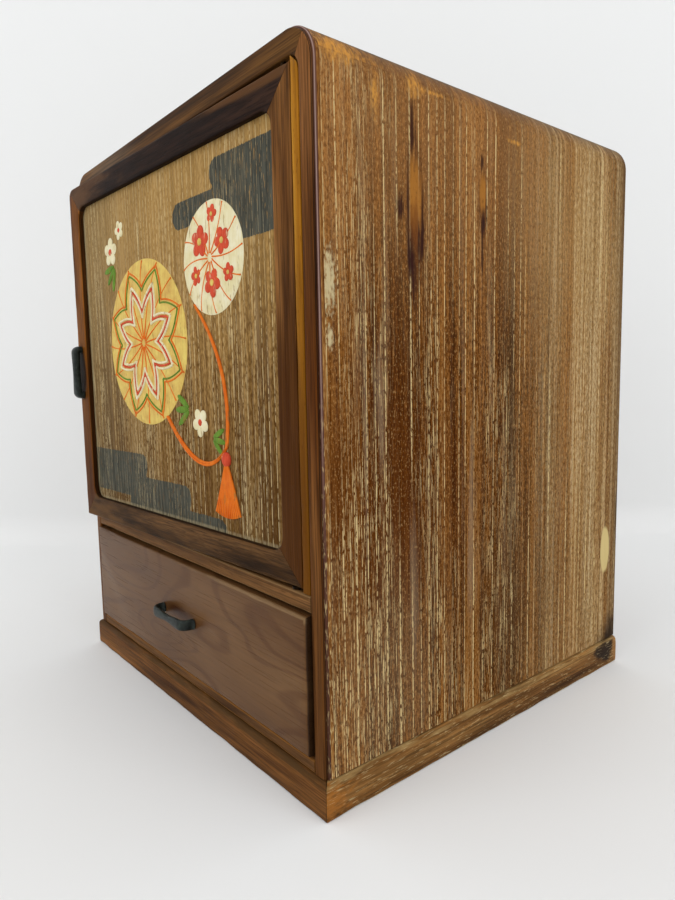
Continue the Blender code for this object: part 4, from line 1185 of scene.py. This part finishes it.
def lacquer(name, colour, worn, board, sheen=0.4):
    """Thick paint on brushed wood: mottled, with hair lines along the grain and rubbed spots."""
    finish = Finish(name)
    mottle = finish.pattern((160, 160, 160), 3.0, 0.6, board)
    hairs = finish.pattern((1500, 8, 40), 2.0, 0.6, board + 1)
    rub_and_highlight = finish.pattern((420, 8, 120), 3.0, 0.65, board + 2)
    shade = finish.blend(0.55, colour, mottle, "OVERLAY")
    shade = finish.blend(0.35, shade, hairs, "OVERLAY")
    shade = finish.blend(finish.both(finish.rise(rub_and_highlight, 0.58, 0.70), 0.6), shade, worn)
    finish.emboss(hairs, 0.00012, 0.6)
    finish.emboss(mottle, 0.0002, 0.4)
    return finish.lay(shade, sheen)


def paint_on(piece):
    """Set a motif, drawn flat in its own plane, on the panel's face, and let it ride with the door."""
    piece.data.transform(on_panel)
    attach(piece, "door")


def dome(name, centre, radius, rise, finish):
    """A low round swelling of paint, its foot a little under the panel's face."""
    sides = 72
    steps = 10
    loops = []
    levels = [(1.0, -0.0004)] + [(1 - (step / steps) ** 1.3, 0.0) for step in range(steps)]
    for number, (reach, level) in enumerate(levels):
        lift = level if number == 0 else rise * math.sqrt(max(0.0, 1 - reach ** 2)) + 0.00005
        ring = []
        for side in range(sides):
            turn = math.tau * side / sides
            ring.append(Vector((
                centre[0] + radius * reach * math.cos(turn), centre[1] + radius * reach * math.sin(turn), lift)))
        loops.append(ring)
    piece = loft(name, loops, {}, finish)
    paint_on(piece)


gold = screen_colour(214, 182, 98)
cream = screen_colour(228, 218, 178)
orange = screen_colour(222, 112, 34)
red = screen_colour(204, 78, 52)
green = screen_colour(98, 132, 48)
wood_brown = screen_colour(150, 112, 62)
BIG_BALL = (-0.022, 0.004)
BIG_RADIUS = 0.043
SMALL_BALL = (0.046, 0.038)
SMALL_RADIUS = 0.025
BALL_RISE = 0.0012
gold_paint = lacquer("gold_paint", gold, wood_brown, 111.0)
cream_paint = lacquer("cream_paint", cream, wood_brown, 112.0)
orange_paint = lacquer("orange_paint", orange, wood_brown, 113.0)
red_paint = lacquer("red_paint", red, cream, 114.0)
green_paint = lacquer("green_paint", green, wood_brown, 115.0)
dome("big_ball", BIG_BALL, BIG_RADIUS, BALL_RISE, gold_paint)
dome("small_ball", SMALL_BALL, SMALL_RADIUS, BALL_RISE, cream_paint)

threads, given, add = node_tree(
    "threads", ("Count", "Int"), ("Start", "Vector"), ("Middle", "Vector"), ("End", "Vector"),
    ("Thickness", "Float"), ("First turn", "Float"), ("Turn step", "Float"))
path = add("GeometryNodeCurveQuadraticBezier", {
    "Resolution": 14, "Start": given["Start"], "Middle": given["Middle"], "End": given["End"]})
round_profile = add("GeometryNodeCurvePrimitiveCircle", {"Resolution": 6, "Radius": given["Thickness"]})
thread = add("GeometryNodeCurveToMesh", {
    "Curve": path.outputs[0], "Profile Curve": round_profile.outputs[0], "Fill Caps": True})
marks = add("GeometryNodePoints", {"Count": given["Count"]})
step = add("ShaderNodeMath", {
    0: add("GeometryNodeInputIndex").outputs[0], 1: given["Turn step"], 2: given["First turn"]},
    operation="MULTIPLY_ADD")
turn = add("ShaderNodeCombineXYZ", {"Z": step.outputs[0]})
wound = add("GeometryNodeInstanceOnPoints", {
    "Points": marks.outputs[0], "Instance": thread.outputs[0], "Rotation": turn.outputs[0]})
close_tree(add, wound.outputs[0], given)


def wind(name, centre, count, start, middle, end, thickness, first_turn, turn_step, finish):
    """A thread repeated round a centre."""
    piece = bpy.data.objects.new(name, bpy.data.meshes.new(name))
    bpy.context.scene.collection.objects.link(piece)
    grow(piece, threads, finish, {
        "Count": count, "Start": start, "Middle": middle, "End": end, "Thickness": thickness,
        "First turn": first_turn, "Turn step": turn_step})
    piece.data.transform(Matrix.Translation((*centre, 0.0)))
    piece.data.shade_smooth()
    paint_on(piece)


def ball_point(radius, reach, degrees):
    """A point on a ball's swelling, from how far out it is and its direction."""
    turn = math.radians(degrees)
    lift = BALL_RISE * math.sqrt(max(0.0, 1 - reach ** 2))
    return radius * reach * math.cos(turn), radius * reach * math.sin(turn), lift


SPOKES = 16
full_turn = math.tau / SPOKES
wind("big_ball_orange_threads", BIG_BALL, SPOKES, ball_point(BIG_RADIUS, 0.05, 0),
     ball_point(BIG_RADIUS, 0.6, 9), ball_point(BIG_RADIUS, 0.985, 0), 0.00045, 0.0, full_turn, orange_paint)
for number, (inner, outer, paint, thickness) in enumerate((
        (0.30, 0.62, cream_paint, 0.0007), (0.36, 0.68, red_paint, 0.0006), (0.42, 0.74, cream_paint, 0.0007),
        (0.62, 0.90, green_paint, 0.0005), (0.67, 0.95, orange_paint, 0.0005))):
    for side, lean in (("left", -1), ("right", 1)):
        wind(f"big_ball_star_{number}_{side}", BIG_BALL, SPOKES // 2, ball_point(BIG_RADIUS, inner, 0),
             ball_point(BIG_RADIUS, (inner + outer) / 2, lean * 8), ball_point(BIG_RADIUS, outer, lean * 22.5),
             thickness, 0.0, 2 * full_turn, paint)
wind("small_ball_orange_threads", SMALL_BALL, 12, ball_point(SMALL_RADIUS, 0.08, 0),
     ball_point(SMALL_RADIUS, 0.6, -12), ball_point(SMALL_RADIUS, 0.98, 0), 0.0004, 0.1, math.tau / 12, orange_paint)

petals, given, add = node_tree(
    "petals", ("Count", "Int"), ("Fan", "Float"), ("Reach", "Float"), ("Petal", "Vector"))
drop = add("GeometryNodeMeshUVSphere", {"Segments": 14, "Rings": 7, "Radius": 1.0})
away = add("ShaderNodeCombineXYZ", {"X": given["Reach"]})
drop = add("GeometryNodeTransform", {
    "Geometry": drop.outputs[0], "Translation": away.outputs[0], "Scale": given["Petal"]})
marks = add("GeometryNodePoints", {"Count": given["Count"]})
step = add("ShaderNodeMath", {
    0: add("GeometryNodeInputIndex").outputs[0], 1: given["Fan"]}, operation="MULTIPLY")
turn = add("ShaderNodeCombineXYZ", {"Z": step.outputs[0]})
flower = add("GeometryNodeInstanceOnPoints", {
    "Points": marks.outputs[0], "Instance": drop.outputs[0], "Rotation": turn.outputs[0]})
size = add("GeometryNodeInputNamedAttribute", {"Name": "size"}, data_type="FLOAT")
lean = add("GeometryNodeInputNamedAttribute", {"Name": "lean"}, data_type="FLOAT")
turned = add("ShaderNodeCombineXYZ", {"Z": lean.outputs[0]})
flowers = add("GeometryNodeInstanceOnPoints", {
    "Points": given["Geometry"], "Instance": flower.outputs[0], "Rotation": turned.outputs[0],
    "Scale": size.outputs[0]})
close_tree(add, flowers.outputs[0], given)


def scatter(name, places, count, fan, reach, petal, finish):
    """Sprays of petals or leaves at places, each an X, a Y, a lift, a size and a lean in degrees."""
    mesh = bpy.data.meshes.new(name)
    mesh.from_pydata([place[:3] for place in places], [], [])
    mesh.attributes.new("size", "FLOAT", "POINT").data.foreach_set("value", [place[3] for place in places])
    leans = [math.radians(place[4]) for place in places]
    mesh.attributes.new("lean", "FLOAT", "POINT").data.foreach_set("value", leans)
    piece = bpy.data.objects.new(name, mesh)
    bpy.context.scene.collection.objects.link(piece)
    grow(piece, petals, finish, {"Count": count, "Fan": math.radians(fan), "Reach": reach, "Petal": petal})
    piece.data.shade_smooth()
    paint_on(piece)


blossoms = [
    (0.038, 0.046, BALL_RISE, 0.0072, 10), (0.056, 0.044, BALL_RISE * 0.9, 0.0060, 40),
    (0.047, 0.027, BALL_RISE * 0.9, 0.0066, -12), (0.0335, 0.0315, BALL_RISE * 0.8, 0.0046, 30),
    (0.0600, 0.0300, BALL_RISE * 0.8, 0.0042, 20), (0.048, 0.0565, BALL_RISE * 0.7, 0.0042, 0)]
fallen = [(-0.060, 0.056, 0.0, 0.0078, 15), (0.030, -0.036, 0.0, 0.0070, 50), (-0.048, 0.066, 0.0, 0.0052, 35)]
scatter("ball_blossoms", blossoms, 5, 72, 0.56, (0.46, 0.40, 0.06), red_paint)
scatter("fallen_blossoms", fallen, 5, 72, 0.56, (0.46, 0.40, 0.06), cream_paint)
hearts = [(x, y, lift + 0.0002, size * 0.3, lean) for x, y, lift, size, lean in blossoms]
scatter("blossom_hearts", hearts, 1, 0, 0.0, (0.8, 0.8, 0.25), gold_paint)
fallen_hearts = [(x, y, lift + 0.0002, size * 0.3, lean) for x, y, lift, size, lean in fallen]
scatter("fallen_hearts", fallen_hearts, 1, 0, 0.0, (0.8, 0.8, 0.25), red_paint)
leaves = [
    (-0.055, 0.048, 0.0, 0.0105, 190), (0.021, -0.030, 0.0, 0.0105, 150), (0.040, -0.043, 0.0, 0.0085, -40)]
scatter("leaves", leaves, 3, 32, 0.75, (0.62, 0.17, 0.05), green_paint)

CORD_END = (0.052, -0.052)
wind("tassel_cord", (0.0, 0.0), 2, (-0.002, -0.034, 0.0002), (0.030, -0.070, 0.0002), (0.052, -0.047, 0.0002),
     0.0007, 0.0, 0.03, orange_paint)
wind("ball_cord", (0.0, 0.0), 2, (0.030, 0.018, 0.0002), (0.060, -0.012, 0.0002), (0.052, -0.047, 0.0002),
     0.0006, 0.0, 0.03, orange_paint)
wind("tassel_strands", CORD_END, 13, (0.002, 0.0, 0.0004), (0.012, 0.001, 0.0007), (0.027, 0.0, 0.0002),
     0.0006, math.radians(-112), math.radians(3.6), orange_paint)
scatter("tassel_knot", [(*CORD_END, 0.0003, 0.0036, 0)], 1, 0, 0.0, (1.0, 1.0, 0.4), red_paint)


# Door handle
# A forged iron bow, its two flared feet drawn to a narrow waist, blacked and matte.
# Its shanks go through the door's stile and hold behind it with small square nuts.
HANDLE_FOOT_THICKNESS = 0.0044
DOOR_BOW = (0.0055, 0.0041, 0.0044, 0.0070, 0.0018)
DRAWER_BOW = (0.0078, 0.0027, 0.0034, 0.0054, 0.0040)
HANDLE_SHANK_RADIUS = 0.0013
HANDLE_SEAT = 0.0002
HANDLE_SHANK_LENGTH = 0.0156
HANDLE_SIDES = 28
HANDLE_SQUARENESS = 0.8


def black_iron(name, board):
    """Blacked iron with a faint green cast: hammered and dull."""
    finish = Finish(name)
    hammer = finish.pattern((420, 420, 420), 2.0, 0.5, board)
    grit = finish.pattern((3500, 3500, 3500), 2.0, 0.6, board + 1)
    colour = finish.shades(
        hammer, (0.35, screen_colour(20, 25, 22)), (0.55, screen_colour(33, 40, 36)),
        (0.75, screen_colour(50, 58, 52)))
    finish.emboss(hammer, 0.00025, 0.6)
    finish.emboss(grit, 0.00004, 0.5)
    return finish.lay(colour, finish.mix_of((grit, 0.3), (1.0, 0.25)), 0.2)


def bow_handle(name, centre, along_axis, across_axis, out_axis, foot, bow, finish):
    """A bow between two feet, drawn as rings along its path.

    The bow is how far it stands out, its bar's thickness, its waist's and its feet's width, and its bend."""
    projection, bar_thickness, waist_width, foot_width, bend = bow
    wide = foot_width / 2
    thick = HANDLE_FOOT_THICKNESS / 2
    bar = bar_thickness / 2
    crest = projection - bar
    shank = HANDLE_SHANK_RADIUS
    stations = [(-foot, -HANDLE_SHANK_LENGTH, 90, shank, shank), (-foot, HANDLE_SEAT, 90, shank, shank)]
    for step in range(3):
        swell = 1 - 0.12 * (1 - math.sin(math.pi / 4 * step))
        stations.append((-foot, HANDLE_SEAT + 0.0002 * step, 90, wide * swell, thick * swell))
    flare = HANDLE_SEAT + 0.0004
    for step in range(1, 7):
        share = math.sin(math.pi / 2 * step / 6)
        out = flare + (crest - bend - flare) * step / 6
        stations.append((-foot, out, 90, wide, thick + (bar - thick) * share))
    for step in range(1, 13):
        turn = step / 12
        angle = math.pi / 2 * turn
        stations.append((
            -foot + bend * (1 - math.cos(angle)), crest - bend + bend * math.sin(angle), 90 - 90 * turn, wide, bar))
    straight = foot - bend
    for step in range(1, 15):
        share = step / 14
        waist = wide + (waist_width / 2 - wide) * (1 - math.cos(math.pi * share)) / 2
        stations.append((-straight * (1 - share), crest, 0, waist, bar))
    stations += [(-along, out, -slope, half, deep) for along, out, slope, half, deep in reversed(stations[:-1])]
    loops = []
    for along, out, slope, half, deep in stations:
        lean = math.radians(slope)
        ring = []
        for side in range(HANDLE_SIDES):
            turn = math.tau * side / HANDLE_SIDES
            across = half * math.copysign(abs(math.cos(turn)) ** HANDLE_SQUARENESS, math.cos(turn))
            lift = deep * math.copysign(abs(math.sin(turn)) ** HANDLE_SQUARENESS, math.sin(turn))
            point = centre + along_axis * (along - lift * math.sin(lean)) + across_axis * across
            ring.append(point + out_axis * (out + lift * math.cos(lean)))
        loops.append(ring)
    return loft(name, loops, {}, finish)


def middle_of(node):
    low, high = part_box(node)
    return (low + high) / 2


door_iron = black_iron("door_iron_finish", 121.0)
lower_foot = door_turn.inverted() @ middle_of("door_handle_nut_lower")
upper_foot = door_turn.inverted() @ middle_of("door_handle_nut_upper")
handle_middle = (lower_foot + upper_foot) / 2
turned = door_turn.to_3x3()
piece = bow_handle(
    "door_handle_iron", door_turn @ Vector((handle_middle.x, front_y, handle_middle.z)), Vector((0, 0, 1)),
    turned @ Vector((1, 0, 0)), turned @ Vector((0, -1, 0)), (upper_foot - lower_foot).length / 2,
    DOOR_BOW, door_iron)
stand_for(piece, "door_handle")
for node in ("door_handle_nut_lower", "door_handle_nut_upper"):
    frame["nodes"][node].material_slots[0].material = door_iron.material


# Drawer box
# Two sides, a back and a thin bottom of bare light wood, glued and held with wooden pegs.
# The bottom runs on the cabinet's floor, with no runners.
for number, (node, axis) in enumerate((
        ("drawer_side_left", "y"), ("drawer_side_right", "y"), ("drawer_back", "x"), ("drawer_bottom", "x"))):
    finish = bare_wood(node + "_finish", axis, 131.0 + number)
    frame["nodes"][node].material_slots[0].material = finish.material
peg_finish = bare_wood("drawer_peg_finish", "y", 136.0)
peg_places = []
wall_low, wall_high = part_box("drawer_side_right")
for x in (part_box("drawer_side_left")[0].x, wall_high.x):
    for y in (wall_low.y + PEG_INSET, wall_high.y - PEG_INSET):
        for share in (0.2, 0.5, 0.8):
            peg_places.append((x, y, wall_low.z + (wall_high.z - wall_low.z) * share))
peg_heads("drawer_pegs", peg_places, (PEG_RISE, PEG_RADIUS, PEG_RADIUS), peg_finish, "drawer")


# Drawer front
# A thick board of mid brown wood with a soft arched figure, its edges rounded and rubbed pale.
# It is glued and pegged to the drawer's sides and stands a little proud of the facing.
DRAWER_EDGE = 0.0011
DRAWER_BACK_EDGE = 0.0005
EDGE_STEP = 0.004
front_low, front_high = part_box("drawer_front")
finish = Finish("drawer_finish")
arches = finish.add("ShaderNodeMapping", {
    "Vector": finish.place, "Location": (0.35, 0.0, -0.9), "Scale": (5.5, 4.0, 21.0)})
bend = finish.add("ShaderNodeTexNoise", {
    "Vector": arches.outputs[0], "Scale": 1.0, "Detail": 1.0, "Roughness": 0.4, "Distortion": 0.5})
waves = finish.sums("SINE", finish.sums("MULTIPLY", bend.outputs["Fac"], 100.0))
bands = finish.pattern((9, 9, 30), 2.0, 0.5, 141.0)
fibre = finish.pattern((26, 1300, 1300), 3.0, 0.6, 142.0)
pores = finish.pattern((110, 2100, 2100), 1.0, 0.5, 143.0)
colour = finish.shades(
    bands, (0.30, screen_colour(80, 52, 28)), (0.5, screen_colour(97, 66, 37)), (0.70, screen_colour(112, 80, 48)))
colour = finish.blend(finish.both(finish.rise(waves, 0.5, 1.0), 0.42), colour, screen_colour(70, 38, 16))
colour = finish.blend(0.12, colour, finish.rise(fibre, 0.28, 0.72), "OVERLAY")
# Painted reflection: a dark band behind the handle stands for the handle's dark reflection in the satin board.
handle_shade_spot = middle_of("drawer_handle_nut_left").lerp(middle_of("drawer_handle_nut_right"), 0.5)
handle_shade_spot.y = front_low.y
handle_shade_spot.z += 0.002
colour = finish.blot(
    colour, 0.85, screen_colour(50, 20, 5), tuple(handle_shade_spot), (0.021, 0.006, 0.0052), 0.3, (90, 90, 200), 0.1)
pore = finish.rise(pores, 0.60, 0.70)
colour = finish.blend(finish.both(pore, 0.08), colour, screen_colour(56, 34, 18))
ragged = finish.pattern((50, 400, 400), 3.0, 0.6, 144.0)
bare = finish.rise(finish.sums("ADD", finish.mark("wear"), finish.sums("SUBTRACT", ragged, 0.75)), 0.45, 0.85)
upper = finish.rise(finish.coordinate("z"), front_high.z - 0.004, front_high.z - 0.0015)
towards_right = finish.rise(finish.coordinate("x"), -0.03, 0.09)
colour = finish.blend(finish.both(bare, upper, towards_right, 0.6), colour, screen_colour(146, 118, 82))
# Painted shade: the board's side edges are painted near black for the shade in the gap beside the facing.
gap_shade = finish.rise(
    finish.sums("ABSOLUTE", finish.coordinate("x")), front_high.x - 0.0007, front_high.x - 0.0002)
colour = finish.blend(finish.both(gap_shade, 0.8), colour, screen_colour(28, 16, 9))
finish.emboss(fibre, 0.00003, 0.4)
finish.emboss(pore, -0.00003, 0.3)
finish.lay(colour, finish.mix_of((fibre, 0.2), (1.0, 0.2)), 0.10)


def slab_ring(inset, y):
    """The board's outline at one depth, as points a few millimetres apart."""
    left, right = front_low.x + inset, front_high.x - inset
    low, high = front_low.z + inset, front_high.z - inset
    wide = round((front_high.x - front_low.x) / EDGE_STEP)
    tall = round((front_high.z - front_low.z) / EDGE_STEP)
    ring = [Vector((left + (right - left) * step / wide, y, low)) for step in range(wide)]
    ring += [Vector((right, y, low + (high - low) * step / tall)) for step in range(tall)]
    ring += [Vector((right - (right - left) * step / wide, y, high)) for step in range(wide)]
    ring += [Vector((left, y, high - (high - low) * step / tall)) for step in range(tall)]
    return ring


loops = [slab_ring(DRAWER_EDGE + WEAR_FADE, front_low.y)]
ring_wear = [0.0]
for step in range(6):
    turn = math.pi / 2 * step / 5
    loops.append(slab_ring(DRAWER_EDGE * (1 - math.sin(turn)), front_low.y + DRAWER_EDGE * (1 - math.cos(turn))))
    ring_wear.append(1.0)
loops.append(slab_ring(0.0, front_low.y + DRAWER_EDGE + WEAR_FADE))
loops.append(slab_ring(0.0, front_high.y - DRAWER_BACK_EDGE))
loops.append(slab_ring(DRAWER_BACK_EDGE, front_high.y))
ring_wear += [0.0, 0.0, 0.0]
wear = [worn for worn in ring_wear for _ in loops[0]]
piece = loft("drawer_front_wood", loops, {"wear": wear}, finish)
weather(piece, 0.0005, 0.011, 141.0)
stand_for(piece, "drawer_front")


# Drawer handle
# The same forged bow as the door's, lying level in the middle of the drawer's front.
# Its shanks go through the board to two square nuts inside.
drawer_iron = black_iron("drawer_iron_finish", 151.0)
left_foot = middle_of("drawer_handle_nut_left")
right_foot = middle_of("drawer_handle_nut_right")
handle_middle = (left_foot + right_foot) / 2
piece = bow_handle(
    "drawer_handle_iron", Vector((handle_middle.x, front_low.y, handle_middle.z)), Vector((1, 0, 0)),
    Vector((0, 0, 1)), Vector((0, -1, 0)), (right_foot - left_foot).length / 2, DRAWER_BOW, drawer_iron)
stand_for(piece, "drawer_handle")
for node in ("drawer_handle_nut_left", "drawer_handle_nut_right"):
    frame["nodes"][node].material_slots[0].material = drawer_iron.material


# Room
# A pale floor that turns up into a pale wall behind the cabinet, and soft daylight all round.
# Broad soft lamps stand in front, at the right and above; the camera is close to the front right corner.
CAMERA_PLACE = (0.31172, -0.25278, 0.17358)
CAMERA_HEADING = math.radians(50.441)
CAMERA_DIP = math.radians(6.307)
CAMERA_ROLL = math.radians(-1.1107)
CAMERA_LENS = 26.436
SENSOR = 36.0
WALL_DISTANCE = 0.717
COVE_RADIUS = 0.03
ROOM_HALF = 3.0
WALL_HEIGHT = 2.5

scene = bpy.context.scene
scene.view_settings.view_transform = "Standard"
camera_data = bpy.data.cameras.new("camera")
camera_data.sensor_width = SENSOR
camera_data.lens = CAMERA_LENS
camera_data.clip_start = 0.01
camera = bpy.data.objects.new("camera", camera_data)
camera.matrix_world = (
    Matrix.Translation(CAMERA_PLACE) @ Matrix.Rotation(CAMERA_HEADING, 4, "Z")
    @ Matrix.Rotation(math.pi / 2 - CAMERA_DIP, 4, "X") @ Matrix.Rotation(CAMERA_ROLL, 4, "Z"))
scene.collection.objects.link(camera)
scene.camera = camera

paper = bpy.data.materials.new("paper_finish")
paper.use_nodes = True
tree = paper.node_tree
shader = tree.nodes["Principled BSDF"]
shader.inputs["Base Color"].default_value = screen_colour(238, 239, 239)
shader.inputs["Roughness"].default_value = 0.9
shader.inputs["Specular IOR Level"].default_value = 0.1
seen_from = tree.nodes.new("ShaderNodeNewGeometry")
clear = tree.nodes.new("ShaderNodeBsdfTransparent")
one_way = tree.nodes.new("ShaderNodeMixShader")
tree.links.new(seen_from.outputs["Backfacing"], one_way.inputs["Fac"])
tree.links.new(shader.outputs[0], one_way.inputs[1])
tree.links.new(clear.outputs[0], one_way.inputs[2])
tree.links.new(one_way.outputs[0], tree.nodes["Material Output"].inputs["Surface"])
ahead = Vector((-math.sin(CAMERA_HEADING), math.cos(CAMERA_HEADING), 0.0))
aside = Vector((math.cos(CAMERA_HEADING), math.sin(CAMERA_HEADING), 0.0))
start = Vector((CAMERA_PLACE[0], CAMERA_PLACE[1], 0.0))
sweep = [(-ROOM_HALF, 0.0)]
for step in range(13):
    turn = math.pi / 2 * step / 12
    sweep.append((
        WALL_DISTANCE - COVE_RADIUS * (1 - math.sin(turn)), COVE_RADIUS * (1 - math.cos(turn))))
sweep.append((WALL_DISTANCE, WALL_HEIGHT))
points = [start + ahead * far + aside * side + Vector((0, 0, up)) for far, up in sweep for side in (-ROOM_HALF, ROOM_HALF)]
faces = [(2 * step, 2 * step + 1, 2 * step + 3, 2 * step + 2) for step in range(len(sweep) - 1)]
mesh = bpy.data.meshes.new("room")
mesh.from_pydata(points, [], faces)
mesh.shade_smooth()
mesh.materials.append(paper)
room = bpy.data.objects.new("room", mesh)
scene.collection.objects.link(room)
room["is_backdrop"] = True

world = bpy.data.worlds.new("daylight")
world.use_nodes = True
world.node_tree.nodes["Background"].inputs["Color"].default_value = (1.0, 1.0, 1.0, 1.0)
world.node_tree.nodes["Background"].inputs["Strength"].default_value = 0.77
scene.world = world


def soft_lamp(name, place, size, power):
    """A square lamp that faces the cabinet's middle."""
    data = bpy.data.lights.new(name, "AREA")
    data.size = size
    data.energy = power
    lamp = bpy.data.objects.new(name, data)
    lamp.location = place
    lamp.rotation_euler = (Vector((0.0, 0.0, 0.15)) - lamp.location).to_track_quat("-Z", "Y").to_euler()
    scene.collection.objects.link(lamp)


soft_lamp("front_lamp", Vector((-0.3, -1.7, 1.1)), 1.4, 7.0)
soft_lamp("right_lamp", Vector((1.6, 0.2, 1.3)), 1.2, 7.0)
soft_lamp("top_lamp", Vector((0.3, -0.3, 2.2)), 1.6, 4.5)

low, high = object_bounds()
